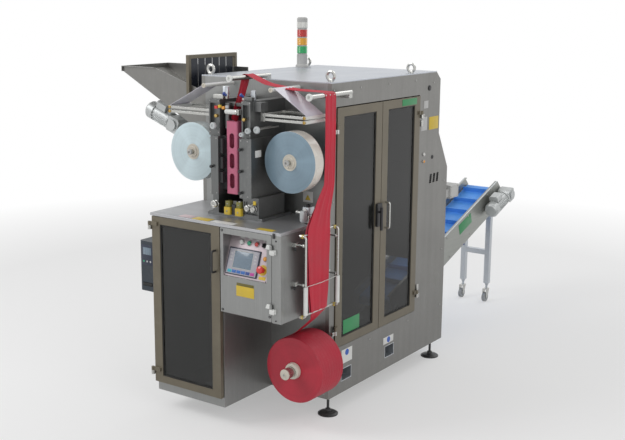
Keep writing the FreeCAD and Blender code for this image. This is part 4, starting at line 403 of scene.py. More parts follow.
FINISHES: dict[str, Finish] = {
    "panel": BrushedSteel("Brushed panel", (0.235, 0.232, 0.222)),
    # A lighter copy of the brushed panel for the front panel, cabinet and control box: painted light.
    "panel_front": BrushedSteel("Brushed panel, painted lit front", (0.30, 0.305, 0.30)),
    "panel_dark": BrushedSteel("Brushed dark housing", (0.16, 0.165, 0.165)),
    # The table top and the roof are lighter, bluer copies of the brushed sheet: painted light on faces that look up.
    "table": BrushedSteel("Brushed table, painted top light", (0.46, 0.465, 0.48), Grain.ACROSS, 0.42),
    "roof": BrushedSteel("Roof sheet, painted top light", (0.50, 0.53, 0.58), Grain.LENGTHWISE, 0.38, 0.6),
    "light": BrushedSteel("Light sheet", (0.52, 0.55, 0.58)),
    "bright": BrushedSteel("Machined steel", (0.50, 0.50, 0.48), Grain.LENGTHWISE, 0.25, 0.95),
    "conveyor": BrushedSteel("Conveyor sheet", (0.33, 0.34, 0.32), Grain.LENGTHWISE),
    "door": Moulding("Olive door frame", (0.155, 0.135, 0.098), 0.36, 500.0, 0.00005, 0.002, 0.5, 0.45),
    "glass": TintedPane("Tinted pane", (0.024, 0.025, 0.024)),
    "black": Moulding("Black moulding", (0.018, 0.018, 0.020), 0.4),
    "rubber": Moulding("Black seal", (0.012, 0.012, 0.012), 0.6, 700.0),
    "grey": Moulding("Grey moulding", (0.46, 0.46, 0.45), 0.38),
    "white": Moulding("White moulding", (0.74, 0.75, 0.73), 0.35),
    "printer": Moulding("Printer case", (0.022, 0.032, 0.045), 0.45, 500.0),
    "strip": Moulding("Curtain strip", (0.012, 0.016, 0.026), 0.28),
    "motor": Moulding("Motor casting", (0.52, 0.54, 0.54), 0.38, 350.0, 0.0001, 0.002, 0.4, 0.35),
    "blue": Moulding("Blue gear case", (0.012, 0.045, 0.26), 0.34, 350.0, 0.0001, 0.002, 0.3, 0.2),
    "tube": Moulding("Net over the tube", (0.52, 0.13, 0.22), 0.4),
    "net": Moulding("Red net", (0.50, 0.012, 0.036), 0.55, 700.0, 0.0003, dust=0.08),
    "belt": Moulding("Blue belt", (0.10, 0.36, 0.92), 0.42, 420.0, 0.0002, dust=0.15),
    "film": Moulding("Film web", (0.68, 0.66, 0.74), 0.2, 300.0),
    "caster": Moulding("Grey tread", (0.30, 0.31, 0.32), 0.5),
    "panel_plastic": Moulding("Panel plastic", (0.09, 0.12, 0.16), 0.35),
    "lens_red": LensPlastic("Red lens", (0.42, 0.02, 0.015)),
    "reel": WoundFilm("Film side", (0.30, 0.38, 0.42)),
    # The two reel sides differ partly in the films' own tint and partly by painted light: the left is lightened as if
    # lit, the right darkened as painted shade.
    "film_pale": WoundFilm("Pale film side, painted light", (0.56, 0.68, 0.72), centre=(-0.056, 0.0, 1.530), contrast=0.06),
    "film_blue": WoundFilm("Blue film side, painted shade", (0.20, 0.29, 0.36), centre=(0.631, 0.0, 1.530), contrast=0.10),
    "film_wrap_pale": Moulding("Pale film wrap", (0.62, 0.68, 0.68), 0.25, 300.0),
    "film_wrap_print": Moulding("Printed film wrap", (0.70, 0.66, 0.60), 0.25, 300.0),
    "net_side": WoundFilm("Net roll side", (0.40, 0.010, 0.030), centre=(0.689, 0.0, 0.369), ring_scale=520.0,
                          roughness=0.6, contrast=0.35),
    "net_wound": Moulding("Wound net", (0.42, 0.012, 0.034), 0.6, 420.0, 0.0008),
    # The inner layer is a darker copy of the red net: painted shade between the two layers.
    "net_dark": Moulding("Inner net, painted shade", (0.33, 0.010, 0.030), 0.55, 700.0, 0.0003),
    "hub": Moulding("Cream hub", (0.62, 0.58, 0.50), 0.4),
    "screw": BrushedSteel("Screw steel", (0.42, 0.42, 0.41), Grain.LENGTHWISE, 0.3, 0.9, 0.0006, 0.1),
    "brass": BrushedSteel("Brass", (0.52, 0.36, 0.12), Grain.LENGTHWISE, 0.3, 0.9, 0.0008, 0.1),
    "face_plate": BrushedSteel("Panel face", (0.55, 0.47, 0.50), Grain.ACROSS, 0.34, 0.5),
    "silver_face": Moulding("Silver face", (0.42, 0.41, 0.46), 0.35),
    "bezel": Moulding("Navy bezel", (0.016, 0.024, 0.050), 0.4),
    "display": LensPlastic("Display", (0.13, 0.18, 0.23), 0.15),
    "key_cyan": Moulding("Cyan key", (0.05, 0.42, 0.52), 0.35),
    "key_blue": Moulding("Blue key", (0.03, 0.14, 0.46), 0.35),
    "key_navy": Moulding("Navy key", (0.02, 0.06, 0.26), 0.35),
    "key_magenta": Moulding("Magenta key", (0.48, 0.05, 0.30), 0.35),
    "key_silver": Moulding("Silver key", (0.50, 0.50, 0.52), 0.35),
    "plate_grey": Moulding("Grey plate", (0.50, 0.50, 0.49), 0.45),
    "plate_white": Moulding("White plate", (0.72, 0.72, 0.70), 0.45),
    "plate_pink": Moulding("Rose plate", (0.66, 0.50, 0.52), 0.45),
    # The white, green and red push buttons are no lamps: their glow is painted light.
    "button_white": LensPlastic("White button", (0.62, 0.64, 0.62), 0.10),
    "button_green": LensPlastic("Green button", (0.02, 0.30, 0.16), 0.15),
    "button_red": LensPlastic("Red button", (0.55, 0.02, 0.02), 0.10),
    "button_amber": LensPlastic("Amber button", (0.62, 0.26, 0.03), 0.15),
    "yellow": Moulding("Yellow plate", (0.66, 0.47, 0.04), 0.42),
    "olive": Moulding("Olive anvil", (0.22, 0.21, 0.05), 0.42),
    "olive_band": Moulding("Olive header", (0.14, 0.12, 0.02), 0.45),
    "green": Moulding("Green plate", (0.03, 0.26, 0.09), 0.42),
    "sign_blue": Moulding("Blue sign disc", (0.02, 0.10, 0.46), 0.4),
    "lens_green": LensPlastic("Green lens", (0.01, 0.30, 0.09)),
    "lens_amber": LensPlastic("Amber lens", (0.60, 0.30, 0.02)),
    "lens_white": LensPlastic("White lens", (0.60, 0.60, 0.57), 0.15),
    "clear_knob": Moulding("Clear knob", (0.50, 0.53, 0.54), 0.12, coat=0.6),
    "printer_door": Moulding("Printer door", (0.030, 0.042, 0.058), 0.38, 500.0),
}

NODE_FINISH: dict[str, str] = {
    "side_panel_right": "panel", "side_panel_left": "panel", "body_floor": "panel", "front_panel": "panel_front",
    "rear_panel": "panel", "roof_panel": "roof", "fork_channels": "light", "front_cabinet": "panel_front",
    "table_top": "table", "cabinet_fittings": "light", "front_door_frame": "door", "front_door_glass": "glass",
    "front_door_handle": "black", "side_door_front_frame": "door", "side_door_front_glass": "glass",
    "side_door_rear_frame": "door", "side_door_rear_glass": "glass", "side_door_front_handle": "black",
    "side_door_rear_handle": "bright", "door_hinges": "bright", "control_box": "panel_front",
    "control_door": "panel_front", "control_hinges": "white", "control_panel": "panel_plastic",
    "levelling_feet": "black", "lifting_eyes": "bright", "signal_tower": "grey", "signal_lenses": "lens_red",
    "infeed_chute": "panel", "chute_guard": "door", "guard_strips": "strip", "chute_drive": "motor",
    "label_printer": "printer", "film_reel_left": "reel", "film_reel_right": "reel", "film_guide_arms": "bright",
    "film_guide_rollers": "white", "film_webs": "film", "jaw_housings": "panel_dark", "fill_tube": "tube",
    "jaw_knobs": "black", "sealing_actuator": "black", "closing_unit": "panel_dark", "closing_fittings": "bright",
    "net_reel": "net", "net_spindle": "bright", "net_spreader": "bright", "net_rollers": "white", "net_web": "net",
    "conveyor_frame": "conveyor", "conveyor_belt": "belt", "conveyor_drive": "motor", "conveyor_stand": "light",
    "caster_fork_left": "bright", "caster_fork_right": "bright", "caster_wheel_left": "caster",
    "caster_wheel_right": "caster", "junction_box": "plate_grey",
}


def dress_nodes() -> None:
    """Gives each frame node the finish of the real piece."""
    for name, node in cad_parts.items():
        node.data.materials.clear()
        node.data.materials.append(FINISHES[NODE_FINISH[name]].material())


class Shape:
    """Gathers meshed bodies of several finishes into one piece, in metres from the machine corner."""

    def __init__(self, name: str, body: str = MACHINE, place: Matrix | None = None) -> None:
        """Starts an empty piece.

        Args:
            name: The piece's name.
            body: The body that it rides on.
            place: Where its own frame lies, seen from the machine corner.
        """
        self.name = name
        self.body = body
        self.place = Matrix.Translation(SHIFT) @ (place or Matrix())
        self.whole = bmesh.new()
        self.finishes: list[str] = []

    def keep(self, part: bmesh.types.BMesh, finish: str) -> None:
        """Takes in a finished body, whose faces all get one finish.

        Args:
            part: The body, which is freed.
            finish: The name of its finish.
        """
        if finish not in self.finishes:
            self.finishes.append(finish)
        bmesh.ops.recalc_face_normals(part, faces=part.faces)
        for face in part.faces:
            face.material_index = self.finishes.index(finish)
            face.smooth = True
        mesh = bpy.data.meshes.new("part")
        part.to_mesh(mesh)
        part.free()
        self.whole.from_mesh(mesh)
        bpy.data.meshes.remove(mesh)

    def block(self, low: Point, high: Point, finish: str, rounding: float = 0.0015,
              turn: Matrix | None = None) -> None:
        """Adds a block with rounded edges.

        Args:
            low: Its lowest corner.
            high: Its highest corner.
            finish: The name of its finish.
            rounding: How far its edges are rounded.
            turn: A turn about its own middle.
        """
        part = bmesh.new()
        bmesh.ops.create_cube(part, size=1.0)
        size = Vector(high) - Vector(low)
        bmesh.ops.scale(part, vec=size, verts=part.verts)
        if rounding:
            bmesh.ops.bevel(part, geom=list(part.edges), offset=min(rounding, min(size) * 0.42), segments=2,
                            profile=0.5, affect="EDGES")
        middle = Matrix.Translation((Vector(high) + Vector(low)) / 2)
        bmesh.ops.transform(part, matrix=middle @ (turn.to_4x4() if turn else Matrix()), verts=part.verts)
        self.keep(part, finish)

    def turned(self, profile: Sequence[Point], foot: Point, along: Point, finish: str, sides: int = 32) -> None:
        """Adds a turned body.

        Args:
            profile: Pairs of radius and height, from the foot up.
            foot: Where its axis starts.
            along: The direction of its axis.
            finish: The name of its finish.
            sides: How many sides its circle has.
        """
        part = bmesh.new()
        rings = []
        for radius, height in profile:
            turns = [math.tau * index / sides for index in range(sides)] if radius > 0 else [0.0]
            rings.append([part.verts.new((radius * math.cos(turn), radius * math.sin(turn),
                                          height)) for turn in turns])
        for low, high in zip(rings, rings[1:]):
            for index in range(sides):
                after = (index + 1) % sides
                corners = [low[index % len(low)], low[after % len(low)], high[after % len(high)],
                           high[index % len(high)]]
                corners = list(dict.fromkeys(corners))
                if len(corners) > 2:
                    part.faces.new(corners)
        aim = Vector(along).to_track_quat("Z", "Y").to_matrix().to_4x4()
        bmesh.ops.transform(part, matrix=Matrix.Translation(foot) @ aim, verts=part.verts)
        self.keep(part, finish)

    def knob(self, steps: Sequence[Point], foot: Point, along: Point, finish: str, sides: int = 32) -> None:
        """Adds a turned body that is closed at both ends.

        Args:
            steps: Pairs of radius and height along its skin, without the middles of its ends.
            foot: Where its axis starts.
            along: The direction of its axis.
            finish: The name of its finish.
            sides: How many sides its circle has.
        """
        self.turned([(0.0, steps[0][1]), *steps, (0.0, steps[-1][1])], foot, along, finish, sides)

    def tube(self, points: Sequence[Point], radius: float, finish: str, sides: int = 12) -> None:
        """Adds a round bar along a line of points.

        Args:
            points: The line's points.
            radius: The bar's radius.
            finish: The name of its finish.
            sides: How many sides its circle has.
        """
        part = bmesh.new()
        line = [Vector(point) for point in points]
        rings = []
        side = None
        for index, point in enumerate(line):
            before, after = line[max(index - 1, 0)], line[min(index + 1, len(line) - 1)]
            ahead = (after - before).normalized()
            if side is None:
                side = ahead.orthogonal().normalized()
            side = (side - ahead * side.dot(ahead)).normalized()
            other = ahead.cross(side)
            rings.append([part.verts.new(point + (side * math.cos(turn) + other * math.sin(turn)) * radius)
                          for turn in (math.tau * step / sides for step in range(sides))])
        for low, high in zip(rings, rings[1:]):
            for index in range(sides):
                after = (index + 1) % sides
                part.faces.new((low[index], low[after], high[after], high[index]))
        part.faces.new(rings[0])
        part.faces.new(rings[-1])
        self.keep(part, finish)

    def prism(self, corners: Sequence[Point], axis: int, low: float, high: float, finish: str,
              rounding: float = 0.0008) -> None:
        """Adds an outline that is pulled along one axis.

        Args:
            corners: The outline's corners on the two other axes.
            axis: The axis by place, 0 for X, 1 for Y and 2 for Z.
            low: Where the pull starts.
            high: Where it ends.
            finish: The name of its finish.
            rounding: How far its edges are rounded.
        """
        part = bmesh.new()
        rings = []
        for level in (low, high):
            rings.append([part.verts.new([*corner[:axis], level, *corner[axis:]]) for corner in corners])
        part.faces.new(rings[0])
        part.faces.new(rings[1])
        for index in range(len(corners)):
            after = (index + 1) % len(corners)
            part.faces.new((rings[0][index], rings[0][after], rings[1][after], rings[1][index]))
        bmesh.ops.recalc_face_normals(part, faces=part.faces)
        if rounding:
            bmesh.ops.bevel(part, geom=list(part.edges), offset=rounding, segments=2, profile=0.5, affect="EDGES")
        self.keep(part, finish)

    def frame(self, low: Point, high: Point, axis: int, bar: float, finish: str, rounding: float = 0.001) -> None:
        """Adds four bars round a window that faces along one axis.

        Args:
            low: The window's lowest corner.
            high: Its highest corner.
            axis: The axis that it faces along, by place.
            bar: How wide the bars are.
            finish: The name of their finish.
            rounding: How far their edges are rounded.
        """
        across, up = [place for place in range(3) if place != axis]
        for place, other, inset in ((across, up, 0.0), (up, across, bar)):
            for end in (0, 1):
                first, last = list(low), list(high)
                first[other] += inset
                last[other] -= inset
                if end:
                    first[place] = high[place] - bar
                else:
                    last[place] = low[place] + bar
                self.block(first, last, finish, rounding)

    def screw(self, place: Point, out: Point, radius: float = 0.005, finish: str = "screw") -> None:
        """Adds a domed screw head with a hollow middle.

        Args:
            place: The middle of its seat.
            out: The direction that it faces.
            radius: Its radius.
            finish: The name of its finish.
        """
        self.turned([(radius, 0.0), (radius, radius * 0.3), (radius * 0.8, radius * 0.62),
                     (radius * 0.42, radius * 0.7),
                     (radius * 0.42, radius * 0.3), (0.0, radius * 0.3)], place, out, finish, 18)

    def make(self, *replaced: str) -> bpy.types.Object:
        """Turns the piece into an object that rides on its body.

        Args:
            *replaced: Frame nodes that it stands for.

        Returns:
            The object.
        """
        bmesh.ops.transform(self.whole, matrix=self.place, verts=self.whole.verts)
        mesh = bpy.data.meshes.new(self.name)
        self.whole.to_mesh(mesh)
        self.whole.free()
        mesh.set_sharp_from_angle(angle=SMOOTH_LIMIT)
        for finish in self.finishes:
            mesh.materials.append(FINISHES[finish].material())
        made = bpy.data.objects.new(self.name, mesh)
        bpy.context.scene.collection.objects.link(made)
        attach(made, self.body)
        if replaced:
            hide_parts(*replaced)
        LOG.info("%s on %s, %d faces", self.name, self.body, len(mesh.polygons))
        return made


@dataclass(frozen=True)
class Window:
    """A glazed door's window and the face that its seal lies on."""

    name: str
    body: str
    axis: int
    low: tuple[float, float, float]
    high: tuple[float, float, float]


@dataclass
class Glazing:
    """Rubber seals round the panes of the three glazed doors, and the screws of their hinges."""

    seal: float = 0.007
    windows: tuple[Window, ...] = (
        Window("side_door_front_seal", "side_door_front", 0, (-0.0028, 0.1218, 0.4608), (0.0015, 0.4710, 1.7542)),
        Window("side_door_rear_seal", "side_door_rear", 0, (-0.0028, 0.6090, 0.4608), (0.0015, 0.9302, 1.7542)),
        Window("front_door_seal", "front_door", 1, (-0.8588, -0.4665, 0.2153), (-0.4772, -0.4607, 1.1287)),
    )

    def build(self) -> None:
        """Builds one seal for each window, and the hinge screws."""
        for window in self.windows:
            shape = Shape(window.name, window.body)
            shape.frame(window.low, window.high, window.axis, self.seal, "rubber", 0.0012)
            shape.make()
        screws = Shape("hinge_screws")
        for height in (0.520, 1.690):
            for y in (0.020, 1.030):
                screws.screw((0.0152, y, height - 0.012), RIGHT, 0.004)
        screws.make()


@dataclass
class SignalTower:
    """The ribbed lenses of the signal tower, from green up to red, and its white top lens."""

    place: tuple[float, float] = (-0.870, 0.950)
    foot: float = 2.043
    step: float = 0.054
    tall: float = 0.045
    radius: float = 0.035
    ribs: int = 11

    def build(self) -> None:
        """Builds the lenses in place of the plain ones."""
        shape = Shape("signal_lens_set")
        for index, finish in enumerate(("lens_green", "lens_amber", "lens_red")):
            shape.turned(self.profile(), (*self.place, self.foot + index * self.step), UP, finish, 48)
        shape.make("signal_lenses")
        cap = Shape("signal_cap_lens")
        cap.turned([(self.radius + 0.0004, 0.004), (self.radius + 0.0008, 0.006), (self.radius + 0.0008, 0.038),
                    (self.radius + 0.0004, 0.040)], (*self.place, self.foot + 3 * self.step), UP, "lens_white", 48)
        cap.make()

    def profile(self) -> list[tuple[float, float]]:
        """Returns the outline of one ribbed lens."""
        line = [(0.0, 0.0), (self.radius, 0.0)]
        pitch = self.tall / self.ribs
        for index in range(self.ribs):
            line += [(self.radius - 0.0012, (index + 0.25) * pitch), (self.radius, (index + 0.6) * pitch)]
        return line + [(self.radius - 0.0012, self.tall), (0.0, self.tall)]


@dataclass
class ControlPanel:
    """The touch panel, buttons and stop button on the sunk sloped face of the control door."""

    foot: tuple[float, float, float] = (-0.241, -0.468, 0.905)
    slope: float = 18.8
    screen_wide: float = 0.216
    screen_tall: float = 0.150
    screen_left: float = -0.138
    screen_low: float = 0.012
    button: float = 0.0125
    button_row: float = 0.200

    def build(self) -> None:
        """Builds the panel in its own sloped frame."""
        place = Matrix.Translation(self.foot) @ Matrix.Rotation(math.radians(-self.slope), 4, "X")
        shape = Shape("operator_panel", "control_door", place)
        self.face(shape)
        self.screen(shape)
        self.buttons(shape)
        shape.make("control_panel")

    def face(self, shape: Shape) -> None:
        """Adds the bright mounting plate with its corner screws."""
        shape.block((-0.1485, -0.0016, 0.002), (0.1485, -0.0004, 0.238), "face_plate", 0.0005)
        for x in (-0.141, 0.141):
            for z in (0.006, 0.232):
                shape.screw((x, -0.0016, z), FRONT, 0.0032, "black")

    def screen(self, shape: Shape) -> None:
        """Adds the touch panel: dark bezel, silver face, display and a row of keys."""
        left, low = self.screen_left, self.screen_low
        right, high = left + self.screen_wide, low + self.screen_tall
        shape.block((left, -0.009, low), (right, -0.0016, high), "bezel", 0.004)
        shape.block((left + 0.007, -0.0102, low + 0.006), (right - 0.007, -0.0088, high - 0.007), "silver_face",
                    0.001)
        shape.block((left + 0.045, -0.0108, low + 0.040), (right - 0.045, -0.0100, high - 0.018), "display", 0.0004)
        shape.frame((left + 0.041, -0.0112, low + 0.036), (right - 0.041, -0.0100, high - 0.014), 1, 0.004,
                    "grey", 0.0005)
        colours = ("key_cyan", "key_blue", "key_blue", "key_blue", "key_navy", "key_magenta")
        pitch = (self.screen_wide - 0.028) / len(colours)
        for index, finish in enumerate(colours):
            x = left + 0.014 + index * pitch
            shape.block((x + 0.002, -0.0114, low + 0.011), (x + pitch - 0.002, -0.0100, low + 0.028), finish, 0.0008)
        for z in (0.5, 0.62, 0.74):
            shape.block((left + 0.017, -0.0112, low + z * self.screen_tall), (left + 0.034, -0.0100,
                        low + z * self.screen_tall + 0.009), "key_silver", 0.0008)
            shape.block((right - 0.034, -0.0112, low + z * self.screen_tall), (right - 0.017, -0.0100,
                        low + z * self.screen_tall + 0.009), "key_silver", 0.0008)

    def buttons(self, shape: Shape) -> None:
        """Adds the push buttons with their plates, the lamp and the stop button on its yellow ring."""
        for x, finish in ((-0.066, "button_white"), (-0.014, "button_green"), (0.038, "button_red"),
                          (0.090, "black")):
            shape.block((x - 0.016, -0.0032, self.button_row + 0.017), (x + 0.016, -0.0016, self.button_row + 0.029),
                        "plate_grey", 0.0006)
            self.push(shape, x, self.button_row - 0.004, finish)
        shape.block((0.0865, -0.026, self.button_row - 0.015), (0.0935, -0.016, self.button_row + 0.008), "black",
                    0.002)
        self.push(shape, 0.112, 0.126, "button_amber")
        shape.knob([(0.029, 0.0), (0.029, 0.002)], (0.108, -0.0016, 0.064), FRONT,
                   "yellow", 40)
        shape.turned([(0.0, 0.0), (0.015, 0.0), (0.015, 0.012), (0.012, 0.014), (0.012, 0.020), (0.0205, 0.022),
                      (0.0215, 0.027), (0.0195, 0.033), (0.012, 0.037), (0.0, 0.038)], (0.108, -0.0034, 0.064), FRONT,
                     "button_red", 40)
        shape.block((0.090, -0.0030, 0.012), (0.136, -0.0016, 0.030), "yellow", 0.0005)

    def push(self, shape: Shape, x: float, z: float, finish: str) -> None:
        """Adds one push button in its round collar.

        Args:
            shape: The panel.
            x: The button's place across the panel.
            z: Its place up the panel.
            finish: The name of its finish.
        """
        r = self.button
        shape.turned([(0.0, 0.0), (r + 0.003, 0.0), (r + 0.003, 0.003), (r + 0.001, 0.005), (r, 0.005), (r, 0.004)],
                     (x, -0.0016, z), FRONT, "screw", 32)
        shape.turned([(r - 0.0006, 0.0), (r - 0.0006, 0.009), (r - 0.003, 0.0115), (0.0, 0.012)],
                     (x, -0.0016, z), FRONT, finish, 32)


@dataclass
class DoorHardware:
    """White hinge covers, black quarter turns and the latch of the control door."""

    def build(self) -> None:
        """Builds the covers and the latches on the door."""
        shape = Shape("control_door_hardware", "control_door")
        for x, z in ((-0.3985, 1.158), (-0.3985, 0.708), (-0.072, 0.722)):
            shape.knob([(0.0075, 0.0), (0.0075, 0.0015), (0.0055, 0.003)], (x, -0.470, z),
                       FRONT, "black", 24)
            shape.block((x - 0.001, -0.4745, z - 0.004), (x + 0.001, -0.4725, z + 0.004), "screw", 0.0003)
        for z in (0.770, 1.096):
            shape.prism([(-0.089, z + 0.002), (-0.0590, z + 0.002), (-0.0590, z + 0.026), (-0.080, z + 0.026)], 1,
                        -0.4865, -0.4795, "white", 0.0015)
        shape.make()
        still = Shape("control_hinge_covers")
        for z in (0.770, 1.096):
            still.prism([(-0.0570, z - 0.002), (-0.0290, z - 0.002), (-0.0340, z - 0.028), (-0.0570, z - 0.028)], 1,
                        -0.4865, -0.4795, "white", 0.0015)
        still.block((-0.050, -0.476, 1.158), (-0.036, -0.4705, 1.186), "black", 0.002)
        for z in (0.706, 1.145):
            still.screw((-0.030, -0.4702, z), FRONT, 0.0045, "black")
        still.make()


@dataclass(frozen=True)
class Plate:
    """One bare plate: its corner places, its finish and the body it rides on."""

    low: tuple[float, float, float]
    high: tuple[float, float, float]
    finish: str
    body: str = MACHINE


@dataclass
class BarePlates:
    """The bare signs and plates on the walls, doors and table."""

    plates: tuple[Plate, ...] = (
        Plate((0.0002, 1.128, 1.580), (0.0014, 1.252, 1.662), "yellow"),
        Plate((0.0002, 1.024, 1.582), (0.0012, 1.100, 1.668), "plate_grey"),
        Plate((0.0062, 0.770, 1.7600), (0.0074, 0.950, 1.800), "green"),
        Plate((0.0002, 1.052, 1.722), (0.0012, 1.110, 1.770), "plate_grey"),
        Plate((-0.4700, -0.306, 0.401), (-0.4688, -0.312, 0.586), "plate_white"),
        Plate((0.0002, 0.135, 0.290), (0.0012, 0.250, 0.375), "plate_white"),
        Plate((0.0002, 0.615, 0.275), (0.0012, 0.738, 0.320), "plate_white"),
        Plate((-0.187, -0.0014, 1.268), (-0.119, -0.0002, 1.330), "plate_white"),
        Plate((-0.300, -0.4712, 0.803), (-0.177, -0.4702, 0.862), "yellow", "control_door"),
        Plate((-0.297, -0.4714, 0.8625), (-0.180, -0.4702, 0.878), "olive_band", "control_door"),
        Plate((-0.2988, -0.299, 1.544), (-0.2976, -0.246, 1.582), "plate_white"),
    )

    table_plates: tuple[tuple[tuple[float, float], tuple[float, float], str], ...] = (
        ((-0.730, -0.455), (-0.640, -0.395), "plate_pink"), ((-0.625, -0.462), (-0.505, -0.402), "yellow"),
        ((-0.490, -0.462), (-0.330, -0.412), "plate_white"), ((-0.170, -0.462), (-0.065, -0.420), "yellow"))
    sign_discs: tuple[tuple[float, float], ...] = ((0.193, 0.352), (0.678, 0.298))
    table_face: float = 1.1912

    def build(self) -> None:
        """Builds the plates that ride on each body as one piece, and the plates of the table."""
        shapes: dict[str, Shape] = {}
        for plate in self.plates:
            shape = shapes.setdefault(plate.body, Shape("bare_plates_" + plate.body, plate.body))
            low = [min(pair) for pair in zip(plate.low, plate.high)]
            high = [max(pair) for pair in zip(plate.low, plate.high)]
            shape.block(low, high, plate.finish, 0.0004)
        still = shapes[MACHINE]
        for (left, front), (right, back), finish in self.table_plates:
            corners = ((left, front), (right, front), (right, back), (left, back))
            still.prism(corners, 2, self.table_face, self.table_face + 0.001, finish, 0.0003)
        still.prism([(-0.1530, 1.312), (-0.133, 1.280), (-0.173, 1.280)], 1, -0.0020, -0.0014, "yellow", 0.0002)
        for y, z in self.sign_discs:
            still.knob([(0.019, 0.0), (0.019, 0.0012)], (0.0012, y, z), RIGHT,
                       "sign_blue", 32)
        for shape in shapes.values():
            shape.make()
        green = Shape("conveyor_plate", MACHINE)
        slope = Matrix.Rotation(math.radians(18.7), 3, "X")
        green.block((-0.2648, 2.146, 0.694), (-0.2636, 2.352, 0.774), "green", 0.0004, slope)
        green.make()
        pane = Shape("door_plate", "side_door_front")
        pane.block((-0.0028, 0.152, 0.470), (-0.0018, 0.330, 0.556), "green", 0.0004)
        pane.make()


@dataclass
class WallFittings:
    """Lamps, plug, hole, hinge blocks and louvre slats of the right wall; the hole's black disc and the black backing
    behind the slats are painted shade.
    """

    lamps: tuple[tuple[float, float, str], ...] = ((1.068, 1.429, "lens_white"), (1.069, 1.383, "button_amber"))
    louvres: int = 3
    louvre_start: float = 1.153
    louvre_pitch: float = 0.046
    slats: int = 4
    hinge_blocks_z: tuple[float, ...] = (1.632, 0.560)
    screws: tuple[tuple[float, float], ...] = (
        (0.024, 1.905), (0.30, 1.905), (0.62, 1.905), (0.94, 1.905), (1.18, 1.880), (0.024, 0.36), (0.45, 0.36),
        (0.92, 0.36), (1.36, 0.36), (1.36, 0.75), (1.36, 1.22), (0.024, 1.28))

    def build(self) -> None:
        """Builds what stands on the wall as one piece."""
        shape = Shape("wall_fittings")
        for y, z, finish in self.lamps:
            shape.turned([(0.0, 0.0), (0.0125, 0.0), (0.0125, 0.003), (0.0105, 0.005), (0.0105, 0.0)], (0.0, y, z),
                         RIGHT, "screw", 28)
            shape.turned([(0.0095, 0.001), (0.0095, 0.007), (0.006, 0.010), (0.0, 0.011)], (0.0, y, z), RIGHT,
                         finish, 28)
        shape.knob([(0.017, 0.0), (0.017, 0.004), (0.013, 0.006)], (0.0, 1.122, 1.848),
                   RIGHT, "black", 32)
        # The hole is drawn as a black disc: painted shade inside it.
        shape.knob([(0.013, 0.0002), (0.013, 0.002), (0.010, 0.003), (0.010, 0.0006)],
                   (0.0, 1.185, 1.399), RIGHT, "black", 28)
        for index in range(self.louvres):
            y = self.louvre_start + self.louvre_pitch * index
            for step in range(self.slats):
                low = 1.2295 + step * 0.0146
                lean = step * 0.002
                shape.block((-0.022, y + 0.001 + lean, low), (-0.0035, y + 0.029 + lean, low + 0.009), "black", 0.001,
                            Matrix.Rotation(math.radians(-28), 3, "Y"))
            # A black sheet behind each louvre stands in for the dark inside the opening: painted shade.
            shape.prism([(y + 0.0004, 1.2284), (y + 0.0296, 1.2284), (y + 0.0376, 1.2876), (y + 0.0084, 1.2876)], 0,
                        -0.026, -0.023, "rubber", 0.0)
        for z in self.hinge_blocks_z:
            shape.block((0.0002, 1.012, z - 0.020), (0.010, 1.036, z + 0.020), "bright", 0.002)
        for y, z in self.screws:
            shape.screw((0.0, y, z), RIGHT, 0.0055)
        shape.make()


